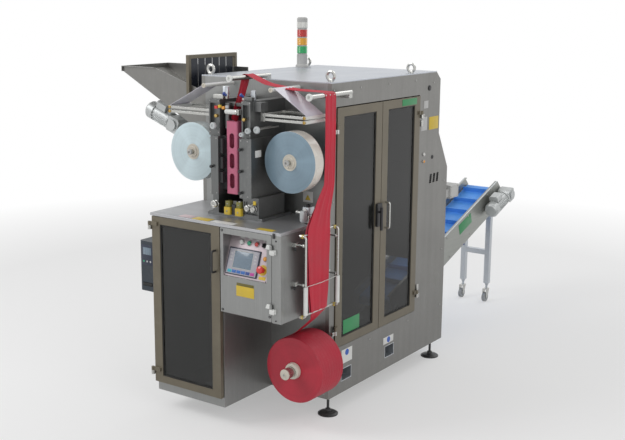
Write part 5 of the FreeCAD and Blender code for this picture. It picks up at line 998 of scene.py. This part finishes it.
@dataclass
class NetRun:
    """The flat red net: off its reel, up through the spreader, over both top bars and down to the tube."""

    rows_each: int = 14
    columns: int = 26
    thick: float = 0.0012

    def build(self) -> None:
        """Builds the net's outer layer in place of the plain band, and the layer inside it, darkened with painted
        shade.
        """
        outer = (
            ((-0.135, -0.175, 0.532), 0.050, 0.0010), ((-0.085, -0.176, 0.566), 0.052, 0.0016),
            ((0.030, -0.190, 0.668), 0.075, 0.0024), ((0.0640, -0.198, 0.716), 0.150, 0.0016),
            ((0.0665, -0.203, 0.860), 0.190, 0.0016), ((0.0670, -0.207, 1.164), 0.216, 0.0010),
            ((0.0670, -0.170, 1.290), 0.150, 0.0030), ((0.0670, -0.118, 1.404), 0.104, 0.0042),
            ((0.0670, -0.110, 1.650), 0.098, 0.0034), ((0.0670, -0.110, 1.885), 0.100, 0.0020),
            ((0.0630, -0.110, 1.9040), 0.100, 0.0008), ((0.0500, -0.110, 1.9090), 0.100, 0.0006),
            ((-0.150, -0.122, 1.912), 0.084, 0.0030), ((-0.330, -0.136, 1.936), 0.074, 0.0030),
            ((-0.452, -0.150, 1.9845), 0.070, 0.0006), ((-0.466, -0.152, 1.9820), 0.070, 0.0006),
            ((-0.4715, -0.156, 1.970), 0.070, 0.0010), ((-0.4640, -0.205, 1.880), 0.062, 0.0030),
            ((-0.4560, -0.262, 1.790), 0.056, 0.0030), ((-0.4460, -0.296, 1.7380), 0.050, 0.0016),
        )
        self.band("net_band", outer, "net", ("net_web",), 0.0)
        inner = (
            ((0.0600, -0.226, 0.722), 0.120, 0.0012), ((0.0616, -0.232, 0.880), 0.160, 0.0016),
            ((0.0622, -0.238, 1.160), 0.190, 0.0012), ((0.0632, -0.182, 1.290), 0.120, 0.0026),
            ((0.0636, -0.124, 1.404), 0.076, 0.0020), ((0.0636, -0.112, 1.640), 0.066, 0.0018),
            ((0.0640, -0.110, 1.880), 0.070, 0.0010),
        )
        # The inner layer takes the darker net finish: painted shade behind the outer layer.
        self.band("net_band_inner", inner, "net_dark", (), 1.7)

    def band(self, name: str, stations: Sequence[tuple[Point, float, float]], finish: str, replaced: Sequence[str],
             phase: float) -> None:
        """Args:
            name: The piece's name.
            stations: Centre, width and depth of folds at each station.
            finish: The name of its finish.
            replaced: Frame nodes that it stands for.
            phase: Where the waves of its folds start.
        """
        rows = self.spread(stations)
        part = bmesh.new()
        grid = []
        length = 0.0
        half = self.thick / 2
        for index, (centre, width, fold) in enumerate(rows):
            before, after = rows[max(index - 1, 0)][0], rows[min(index + 1, len(rows) - 1)][0]
            if index:
                length += (centre - rows[index - 1][0]).length
            ahead = (after - before).normalized()
            across = Vector(BACK)
            across = (across - ahead * across.dot(ahead)).normalized()
            out = across.cross(ahead)
            front, back = [], []
            for column in range(self.columns + 1):
                share = column / self.columns
                wave = math.sin(share * 17.0 + phase + length * 2.1)
                wave += 0.6 * math.sin(share * 31.0 + phase - length * 3.3)
                sway = 0.0016 * math.sin(length * 11.0 + phase) * (share - 0.5)
                place = centre + across * (width * (share - 0.5) + sway) + out * (fold * wave * 0.5)
                front.append(part.verts.new(place + out * half))
                back.append(part.verts.new(place - out * half))
            grid.append(front + back[::-1])
        around = len(grid[0])
        for low, high in zip(grid, grid[1:]):
            for column in range(around):
                after = (column + 1) % around
                part.faces.new((low[column], low[after], high[after], high[column]))
        for ring in (grid[0], grid[-1]):
            for column in range(self.columns):
                part.faces.new((ring[column], ring[column + 1], ring[-2 - column], ring[-1 - column]))
        shape = Shape(name)
        shape.keep(part, finish)
        made = shape.make(*replaced)

    def spread(self, stations: Sequence[tuple[Point, float, float]]) -> list[tuple[Vector, float, float]]:
        """Returns rows between the stations, along a smooth line.

        Args:
            stations: Centre, width and depth of folds at each station.

        Returns:
            The same three values for each row.
        """
        rows = []
        for index in range(len(stations) - 1):
            ends = [stations[min(max(place, 0), len(stations) - 1)] for place in range(index - 1, index + 3)]
            run = (Vector(ends[2][0]) - Vector(ends[1][0])).length
            steps = max(2, min(self.rows_each, round(run / 0.02)))
            for step in range(steps):
                share = step / steps
                start, end = Vector(ends[1][0]), Vector(ends[2][0])
                lean = min(1.0, run / max((Vector(ends[1][0]) - Vector(ends[0][0])).length, 1e-6))
                first = (end - Vector(ends[0][0])) * 0.25 * lean
                lean = min(1.0, run / max((Vector(ends[3][0]) - Vector(ends[2][0])).length, 1e-6))
                last = (Vector(ends[3][0]) - start) * 0.25 * lean
                a, b = share * share * (3 - 2 * share), share * (1 - share)
                centre = start.lerp(end, a) + first * b * (1 - share) - last * b * share
                rows.append((centre, ends[1][1] + (ends[2][1] - ends[1][1]) * a,
                             ends[1][2] + (ends[2][2] - ends[1][2]) * a))
        rows.append((Vector(stations[-1][0]), stations[-1][1], stations[-1][2]))
        return rows


@dataclass
class FilmReel:
    """A wound reel of film on its hub."""

    side: str
    centre: tuple[float, float]
    face: str
    outside: str
    radius: float = 0.169
    front: float = -0.250
    back: float = -0.170
    core: float = 0.038

    def build(self) -> None:
        """Builds the reel in place of the plain one."""
        body = "film_reel_" + self.side
        shape = Shape("film_roll_" + self.side, body)
        x, z = self.centre
        wide = self.back - self.front
        r, core = self.radius, self.core
        rim = [(core, 0.0), (core + 0.004, 0.0), (r - 0.0015, 0.0), (r, 0.0008)]
        shape.turned(rim, (x, self.front, z), BACK, self.face, 96)
        shape.turned([(r, 0.0008), (r, wide - 0.0008)], (x, self.front, z), BACK, self.outside, 96)
        shape.turned([(r, wide - 0.0008), (r - 0.0015, wide), (core, wide)], (x, self.front, z), BACK, self.face, 96)
        shape.turned([(0.0142, 0.002), (0.0142, -0.006), (0.024, -0.0085), (0.030, -0.0085), (0.0325, -0.006),
                      (0.0325, -0.001), (0.0445, -0.0025), (0.0455, 0.0), (0.0455, 0.001)], (x, self.front, z), BACK,
                     "hub", 64)
        shape.turned([(0.0142, 0.0), (0.0375, 0.0), (0.0375, wide), (0.0142, wide)], (x, self.front, z), BACK,
                     "hub", 48)
        for index in range(3):
            turn = math.tau * index / 3 + 0.5
            shape.screw((x + 0.026 * math.cos(turn), self.front - 0.0084, z + 0.026 * math.sin(turn)), FRONT, 0.0028)
        shape.make(body)
        end = Shape("film_spindle_cap_" + self.side)
        end.turned([(0.0145, -0.0002), (0.0165, -0.0002), (0.0165, -0.008), (0.0145, -0.0105), (0.007, -0.0105),
                    (0.007, -0.004), (0.0, -0.004)], (x, self.front - 0.0262, z), BACK, "grey", 32)
        end.make()


@dataclass
class NetReelDress:
    """The reel of net: wound roll with soft edges and a cream hub."""

    centre: tuple[float, float] = (-0.044, 0.369)
    front: float = -0.285
    back: float = -0.065
    radius: float = 0.190

    def build(self) -> None:
        """Builds the reel in place of the plain one."""
        shape = Shape("net_roll", "net_reel")
        foot = (self.centre[0], self.front, self.centre[1])
        wide, r = self.back - self.front, self.radius
        shape.turned([(0.047, 0.0012), (0.060, 0.0), (0.120, 0.0012), (r - 0.010, 0.0), (r - 0.003, 0.0022),
                      (r - 0.0004, 0.008)],
                     foot, BACK, "net_side", 96)
        steps = 26
        line = [(r - 0.0004 - 0.0007 * (index % 2) - 0.0005 * math.sin(index * 1.9),
                 0.008 + (wide - 0.016) * index / steps)
                for index in range(steps + 1)]
        shape.turned(line, foot, BACK, "net_wound", 96)
        shape.turned([(r - 0.0004, wide - 0.008), (r - 0.003, wide - 0.0022), (r - 0.010, wide), (0.047, wide)], foot,
                     BACK, "net_side", 96)
        shape.turned([(0.0304, -0.024), (0.040, -0.024), (0.0445, -0.0215), (0.0465, -0.012), (0.0465, 0.004)], foot,
                     BACK, "hub", 64)
        shape.turned([(0.0304, -0.0238), (0.0304, wide + 0.018), (0.0465, wide + 0.018), (0.0465, 0.0)], foot, BACK,
                     "hub", 48)
        shape.make("net_reel")
        end = Shape("net_spindle_cap")
        end.turned([(0.0, -0.006), (0.010, -0.006), (0.011, -0.003), (0.026, -0.003), (0.0302, 0.0), (0.0302, 0.006)],
                   (self.centre[0], -0.3722, self.centre[1]), BACK, "hub", 48)
        end.screw((self.centre[0], -0.3782, self.centre[1]), FRONT, 0.006)
        end.make()


@dataclass
class SpreaderTrim:
    """Yellow nuts, clamp screws and the thin rod of the net spreader."""

    ends: tuple[float, float] = (-0.362, -0.052)
    foot: float = 0.0602
    low: float = 0.718
    high: float = 1.164
    upright: float = 0.088

    def build(self) -> None:
        """Builds the trim as one piece."""
        shape = Shape("spreader_trim")
        for y in self.ends:
            for z in (self.low, self.high):
                shape.turned([(0.0060, -0.0006), (0.0108, -0.0006), (0.0113, 0.002), (0.0113, 0.008),
                              (0.0108, 0.0106),
                              (0.0060, 0.0106)], (self.foot + 0.0002, y, z), RIGHT, "yellow", 6)
            for z in (self.low + 0.180, self.high - 0.050):
                shape.knob([(0.0042, 0.0), (0.0042, 0.011), (0.0072, 0.011), (0.0072, 0.022), (0.0060, 0.024)],
                           (0.016, y, z - 0.0112), DOWN, "black", 20)
                shape.turned([(0.0058, 0.0), (0.0096, 0.0), (0.0104, 0.0016), (0.0104, 0.0125), (0.0096, 0.014),
                              (0.0058, 0.014)], (self.upright - 0.020, y, z), RIGHT, "bright", 24)
        shape.tube([(self.upright, self.ends[0] + 0.012, 0.888), (self.upright + 0.001, -0.207, 0.884),
                    (self.upright, self.ends[1] - 0.012, 0.888)], 0.0018, "bright", 10)
        shape.make()


@dataclass
class FormingHeadTrim:
    """Screws, knobs, roller, fittings and small cylinders of the forming head."""

    jaw_screws_x: tuple[float, ...] = (-0.574, -0.531, -0.357, -0.312)
    jaw_screws_z: tuple[float, ...] = (1.332, 1.638)
    column_screws_x: tuple[float, ...] = (-0.5985, -0.5370, -0.3700, -0.3180)
    column_screws_z: tuple[float, ...] = (1.668, 1.842)
    side_screws_z: tuple[float, ...] = (1.36, 1.46, 1.56)
    adjusting_knobs: tuple[tuple[tuple[float, float, float], float], ...] = (
        ((-0.275, -0.300, 1.700), 0.020), ((-0.316, -0.326, 1.694), 0.017), ((-0.560, -0.326, 1.705), 0.020),
        ((-0.352, -0.336, 1.672), 0.013))
    # The red and amber clips take lens finishes, so they carry a painted glow.
    clip_colours: tuple[str, ...] = ("button_red", "yellow", "button_amber", "key_silver")
    clip_pitch: float = 0.026

    def build(self) -> None:
        """Builds the head's small parts as one piece."""
        shape = Shape("forming_head_trim")
        for x in self.jaw_screws_x:
            for z in self.jaw_screws_z:
                shape.screw((x, -0.3502, z), FRONT, 0.0038)
        for x in self.column_screws_x:
            for z in self.column_screws_z:
                shape.screw((x, -0.3202, z), FRONT, 0.0042)
        for z in self.side_screws_z:
            shape.screw((-0.2988, -0.06, z), RIGHT, 0.0045)
        self.roller(shape)
        self.knobs(shape)
        self.fittings(shape)
        shape.make()

    def roller(self, shape: Shape) -> None:
        """Adds the white roller across the head with its end washers."""
        shape.knob([(0.0125, 0.0), (0.0135, 0.002), (0.0135, 0.072), (0.0125, 0.074)],
                   (-0.470, -0.338, 1.790), RIGHT, "white", 32)
        shape.knob([(0.016, 0.0), (0.016, 0.006), (0.008, 0.009), (0.008, 0.016)],
                   (-0.395, -0.338, 1.790), RIGHT, "bright", 28)
        shape.block((-0.384, -0.346, 1.776), (-0.376, -0.322, 1.806), "bright", 0.001)

    def knobs(self, shape: Shape) -> None:
        """Adds the bright adjusting knobs beside and over the jaws."""
        for place, size in self.adjusting_knobs:
            shape.knob([(size * 0.5, 0.0), (size * 0.5, 0.008), (size, 0.010), (size, 0.020),
                        (size * 0.85, 0.024), (size * 0.4, 0.024), (size * 0.3, 0.020)], place, FRONT,
                       "clear_knob", 28)
        shape.tube([(-0.300, -0.306, 1.700), (-0.300, -0.150, 1.700)], 0.007, "bright", 16)
        shape.tube([(-0.275, -0.300, 1.700), (-0.275, -0.120, 1.700)], 0.006, "bright", 16)

    def fittings(self, shape: Shape) -> None:
        """Adds small cylinders, coloured clips and blue push-in fittings on top of the head."""
        shape.knob([(0.019, 0.0), (0.019, 0.062), (0.0165, 0.066)], (-0.540, -0.250, 1.852),
                   UP, "light", 32)
        shape.knob([(0.0155, 0.0), (0.0155, 0.050), (0.010, 0.054)], (-0.345, -0.252, 1.852),
                   UP, "light", 32)
        shape.block((-0.588, -0.304, 1.8505), (-0.520, -0.276, 1.876), "bright", 0.002)
        shape.block((-0.372, -0.304, 1.8505), (-0.318, -0.276, 1.872), "panel_dark", 0.002)
        for x, y, z in ((-0.505, -0.290, 1.872), (-0.388, -0.286, 1.870)):
            shape.knob([(0.0075, 0.0), (0.0075, 0.012), (0.0098, 0.014), (0.0098, 0.022), (0.0070, 0.024)],
                       (x, y, z), (-0.5, -0.6, 0.6), "blue", 20)
            shape.block((x - 0.008, y - 0.002, z - 0.019), (x + 0.008, y + 0.014, z + 0.001), "bright", 0.002)
        for index, finish in enumerate(self.clip_colours):
            x = -0.556 + index * self.clip_pitch
            shape.block((x, -0.334, 1.800 + 0.006 * (index % 2)), (x + 0.018, -0.3215, 1.816 + 0.006 * (index % 2)),
                        finish, 0.0015)
        for x, z in ((-0.548, 1.760), (-0.352, 1.752)):
            shape.knob([(0.010, 0.0), (0.010, 0.016), (0.006, 0.020)], (x, -0.318, z),
                       FRONT, "brass", 24)


@dataclass
class ClosingTrim:
    """The anvils, pull wheels and valve of the closing unit."""

    centre: float = -0.446
    deep: float = -0.300
    floor: float = 1.207

    def build(self) -> None:
        """Builds the fittings in place of the plain ones, and the small parts round them."""
        shape = Shape("closing_set")
        self.anvils(shape)
        self.wheels(shape)
        self.valve(shape)
        shape.make("closing_fittings")
        dark = Shape("closing_cover")
        dark.block((-0.384, -0.3022, 1.2215), (-0.278, -0.3002, 1.2245), "black", 0.0004)
        dark.block((-0.411, -0.309, 1.2075), (-0.397, -0.3005, 1.290), "plate_white", 0.002)
        dark.make()

    def anvils(self, shape: Shape) -> None:
        """Adds the two olive and yellow anvil pairs with their screws."""
        y = self.deep - 0.020
        for side in (-1, 1):
            x = sorted((self.centre + side * 0.018, self.centre + side * 0.060))
            shape.block((x[0], y, self.floor), (x[1], y + 0.050, self.floor + 0.044), "yellow", 0.0025)
            shape.block((x[0] + 0.005, y + 0.006, self.floor + 0.044), (x[1] - 0.005, y + 0.042, self.floor + 0.079),
                        "olive", 0.003)
            shape.screw(((x[0] + x[1]) / 2, y, self.floor + 0.022), FRONT, 0.005)
            shape.screw(((x[0] + x[1]) / 2, y + 0.006, self.floor + 0.062), FRONT, 0.004)
        shape.block((self.centre - 0.014, y + 0.012, self.floor),
                    (self.centre + 0.014, y + 0.0255, self.floor + 0.060),
                    "black", 0.001)

    def wheels(self, shape: Shape) -> None:
        """Adds the pull wheels, with knurled rims, on their caps."""
        for x, y, z, r in ((-0.575, self.deep, 1.257, 0.022), (-0.350, self.deep + 0.014, 1.257, 0.0176),
                           (-0.310, self.deep + 0.014, 1.257, 0.0176)):
            shape.knob([(r, 0.0), (r, 0.008), (r - 0.003, 0.010), (r - 0.003, 0.020), (r, 0.022), (r, 0.028),
                        (r * 0.8, 0.0305), (r * 0.5, 0.031), (r * 0.4, 0.029)], (x, y, z), FRONT,
                       "bright", 40)
            for index in range(12):
                turn = math.tau * index / 12
                shape.knob([(0.0012, 0.0), (0.0012, 0.010)],
                           (x + (r - 0.0028) * math.cos(turn), y - 0.010, z + (r - 0.0028) * math.sin(turn)), FRONT,
                           "grey", 8)
            shape.screw((x, y - 0.0292, z), FRONT, 0.004)
        shape.tube([(-0.345, self.deep - 0.020, 1.262), (-0.286, self.deep - 0.026, 1.292)], 0.0035, "bright")
        shape.block((-0.292, self.deep - 0.030, 1.286), (-0.276, self.deep - 0.020, 1.308), "yellow", 0.002)

    def valve(self, shape: Shape) -> None:
        """Adds the air valve with its bowl, gauge and ports."""
        shape.block((-0.070, -0.190, 1.1912), (-0.014, -0.120, 1.240), "bright", 0.004)
        shape.block((-0.064, -0.184, 1.240), (-0.020, -0.126, 1.2812), "light", 0.005)
        shape.knob([(0.014, 0.0), (0.0185, 0.004), (0.020, 0.012), (0.020, 0.052), (0.016, 0.058),
                    (0.016, 0.064)], (-0.042, -0.204, 1.201), UP, "clear_knob", 32)
        shape.knob([(0.012, 0.0), (0.012, 0.014), (0.009, 0.016), (0.009, 0.042), (0.012, 0.044),
                    (0.012, 0.050)], (-0.070, -0.155, 1.241), LEFT, "bright", 28)
        shape.knob([(0.013, 0.0), (0.013, 0.007), (0.011, 0.009)], (-0.042, -0.1842, 1.262),
                   FRONT, "plate_white", 32)
        shape.knob([(0.011, 0.0), (0.013, 0.003), (0.013, 0.010), (0.009, 0.013)],
                   (-0.042, -0.155, 1.2812), UP, "black", 28)


@dataclass
class FilmTrim:
    """Brass ends of the guide rollers and rings on the top bars."""

    guide_ends_x: tuple[float, ...] = (-0.002, -0.958)
    guide_ends_z: tuple[float, ...] = (1.777, 1.753)
    top_rollers: tuple[tuple[float, float, float], ...] = ((-0.219, -0.2602, 1.915), (-0.690, -0.2602, 1.915))
    bar_ends: tuple[tuple[float, float, float], ...] = ((0.0527, -0.285, 1.893), (-0.456, -0.318, 1.968))

    def build(self) -> None:
        """Builds the ends as one piece."""
        shape = Shape("roller_ends")
        for x in self.guide_ends_x:
            for z in self.guide_ends_z:
                shape.knob([(0.0088, 0.0), (0.0088, 0.004), (0.0064, 0.006), (0.0064, 0.002)],
                           (x, -0.2562, z), FRONT, "brass", 28)
        for x, y, z in self.top_rollers:
            shape.knob([(0.012, 0.0), (0.0135, 0.002), (0.0135, 0.006), (0.007, 0.007), (0.007, 0.003)], (x, y, z),
                       FRONT, "hub", 28)
        for x, y, z in self.bar_ends:
            shape.knob([(0.009, 0.0), (0.0095, 0.001), (0.0195, 0.001), (0.0205, 0.004), (0.0195, 0.010),
                        (0.0095, 0.011), (0.0090, 0.004)], (x, y, z), FRONT, "white", 36)
        shape.make()


@dataclass
class PrinterTrim:
    """Door line, keys and display of the label printer."""

    def build(self) -> None:
        """Builds the printer's small parts."""
        shape = Shape("printer_trim")
        shape.block((-1.0462, -0.412, 0.772), (-1.0452, -0.238, 0.976), "printer_door", 0.0004)
        shape.block((-1.035, -0.4412, 0.862), (-0.945, -0.4400, 0.985), "bezel", 0.001)
        shape.block((-1.022, -0.4420, 0.925), (-0.958, -0.4410, 0.968), "display", 0.0005)
        for index in range(3):
            x = -1.016 + index * 0.026
            shape.turned([(0.0, 0.0), (0.006, 0.0), (0.006, 0.0015), (0.0, 0.002)], (x, -0.4412, 0.885), FRONT,
                         "key_silver" if index else "button_green", 20)
        shape.block((-1.0265, -0.4430, 0.7375), (-0.9535, -0.4310, 0.7545), "rubber", 0.001)
        shape.make()


@dataclass
class ConveyorTrim:
    """Bolts of the conveyor's side plate, a bearing cap, edge strips and a strip on the stand."""

    tilt: float = 18.7
    head: tuple[float, float] = (2.840, 0.880)

    def build(self) -> None:
        """Builds the trim in the conveyor's own sloping frame."""
        place = Matrix.Translation((0.0, *self.head)) @ Matrix.Rotation(math.radians(self.tilt), 4, "X")
        shape = Shape("conveyor_trim", MACHINE, place)
        for y in (-0.20, -0.55, -0.90, -1.25):
            for z in (-0.070, 0.088):
                shape.screw((-0.2648, y, z), RIGHT, 0.006)
        shape.knob([(0.020, 0.0), (0.022, 0.002), (0.022, 0.005), (0.010, 0.007)],
                   (-0.2648, -1.694, 0.0), RIGHT, "black", 32)
        shape.block((-0.2760, -1.755, 0.1092), (-0.2655, -0.010, 0.1134), "light", 0.001)
        shape.block((-0.5545, -1.755, 0.1092), (-0.5440, -0.010, 0.1134), "light", 0.001)
        shape.make()
        strip = Shape("stand_trim")
        strip.block((-0.5228, 2.7410, 0.440), (-0.5072, 2.7448, 0.720), "blue", 0.0008)
        strip.make()


@dataclass
class JunctionTrim:
    """Lid line and screws of the junction box behind the rear wall."""

    def build(self) -> None:
        """Builds the lid line and its screws."""
        shape = Shape("junction_lid")
        shape.frame((-0.0082, 1.486, 1.081), (-0.0068, 1.592, 1.159), 0, 0.003, "grey", 0.0005)
        for y in (1.493, 1.585):
            for z in (1.088, 1.152):
                shape.screw((-0.0080, y, z), RIGHT, 0.003)
        shape.make()


@dataclass
class Studio:
    """A pale floor, soft lamps and the camera at the photograph's angle."""

    lens: float = 59.8
    azimuth: float = 34.59
    pitch: float = 12.09
    roll: float = 0.44
    stand: tuple[float, float, float] = (3.884, -5.941, 2.403)
    floor_half: float = 30.0
    lamp_power: float = 110.0

    def build(self) -> None:
        """Builds camera, lamps, world and floor."""
        self.camera()
        self.lamps()
        self.world()
        self.floor()

    def camera(self) -> None:
        """Sets the camera."""
        data = bpy.data.cameras.new("Camera")
        data.lens = self.lens
        data.clip_end = 200.0
        turn = Euler((math.radians(90 - self.pitch), 0, math.radians(self.azimuth))).to_matrix()
        turn = turn @ Matrix.Rotation(math.radians(self.roll), 3, "Z")
        eye = bpy.data.objects.new("Camera", data)
        eye.matrix_world = Matrix.Translation(self.stand) @ turn.to_4x4()
        bpy.context.scene.collection.objects.link(eye)
        bpy.context.scene.camera = eye

    def lamps(self) -> None:
        """Sets a broad key lamp, a fill and a back lamp."""
        for name, where, aim, size, power in (
            ("Key", (-3.5, -5.0, 5.5), (0.0, -0.6, 1.0), 3.5, self.lamp_power * 1.5),
            ("Fill", (5.5, -3.0, 3.0), (0.2, 0.0, 1.0), 4.0, self.lamp_power * 0.55),
            ("Back", (1.0, 6.0, 5.5), (0.0, 0.5, 1.0), 4.0, self.lamp_power * 0.8),
        ):
            data = bpy.data.lights.new(name, "AREA")
            data.energy = power
            data.size = size
            lamp = bpy.data.objects.new(name, data)
            lamp.location = where
            lamp.rotation_euler = (Vector(aim) - Vector(where)).to_track_quat("-Z", "Y").to_euler()
            bpy.context.scene.collection.objects.link(lamp)

    def world(self) -> None:
        """Makes the world white to camera and mirrors, and milder as a light."""
        world = bpy.data.worlds.new("World")
        world.use_nodes = True
        bpy.context.scene.world = world
        graph = Graph(world.node_tree)
        path = graph.add("LightPath")
        seen = graph.maths("MAXIMUM", path.outputs["Is Camera Ray"], path.outputs["Is Glossy Ray"])
        seen = graph.maths("MAXIMUM", seen, path.outputs["Is Transmission Ray"])
        mild = graph.add("Background", Color=(1, 1, 1, 1), Strength=0.55)
        white = graph.add("Background", Color=(1, 1, 1, 1), Strength=1.0)
        both = graph.add("MixShader", in_0=seen, in_1=mild.outputs[0], in_2=white.outputs[0])
        graph.add("OutputWorld", Surface=both.outputs[0])

    def floor(self) -> None:
        """Lays the pale floor, which fades to white away from the machine."""
        material = bpy.data.materials.new("Pale floor")
        material.use_nodes = True
        graph = Graph(material.node_tree)
        place = graph.add("TexCoord").outputs["Object"]
        away = graph.add("VectorMath", {"operation": "LENGTH"}, in_0=place).outputs["Value"]
        far = graph.ramp(away, 2.2, 6.0)
        matt = graph.add("BsdfDiffuse", Color=(0.86, 0.86, 0.86, 1))
        white = graph.add("Emission", Color=(1, 1, 1, 1), Strength=1.0)
        path = graph.add("LightPath")
        seen = graph.maths("MAXIMUM", path.outputs["Is Camera Ray"], path.outputs["Is Glossy Ray"])
        lift = graph.maths("MAXIMUM", graph.maths("MULTIPLY", seen, 0.35), graph.maths("MULTIPLY", seen, far))
        both = graph.add("MixShader", in_0=lift, in_1=matt.outputs[0], in_2=white.outputs[0])
        graph.add("OutputMaterial", Surface=both.outputs[0])
        mesh = bpy.data.meshes.new("Floor")
        half = self.floor_half
        mesh.from_pydata([(-half, -half, 0), (half, -half, 0), (half, half, 0), (-half, half, 0)], [], [(0, 1, 2, 3)])
        mesh.materials.append(material)
        ground = bpy.data.objects.new("Floor", mesh)
        ground.location = (0, 0, -0.001)
        bpy.context.scene.collection.objects.link(ground)


def build_parts() -> None:
    """Builds every sub-assembly in order, from the ground up."""
    Glazing().build()
    DoorHardware().build()
    ControlPanel().build()
    BarePlates().build()
    WallFittings().build()
    SignalTower().build()
    NetReelDress().build()
    SpreaderTrim().build()
    NetRun().build()
    ClosingTrim().build()
    FormingHeadTrim().build()
    FilmTrim().build()
    FilmReel("left", (-0.789, 1.530), "film_pale", "film_wrap_pale").build()
    FilmReel("right", (-0.102, 1.530), "film_blue", "film_wrap_print").build()
    PrinterTrim().build()
    ConveyorTrim().build()
    JunctionTrim().build()


def main() -> None:
    """Builds the studio and every sub-assembly."""
    logging.basicConfig(level=logging.INFO, format="%(name)s %(message)s")
    scene = bpy.context.scene
    scene.view_settings.view_transform = "Standard"
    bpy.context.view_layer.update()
    Studio().build()
    dress_nodes()
    build_parts()


if __name__ == "__main__":
    main()
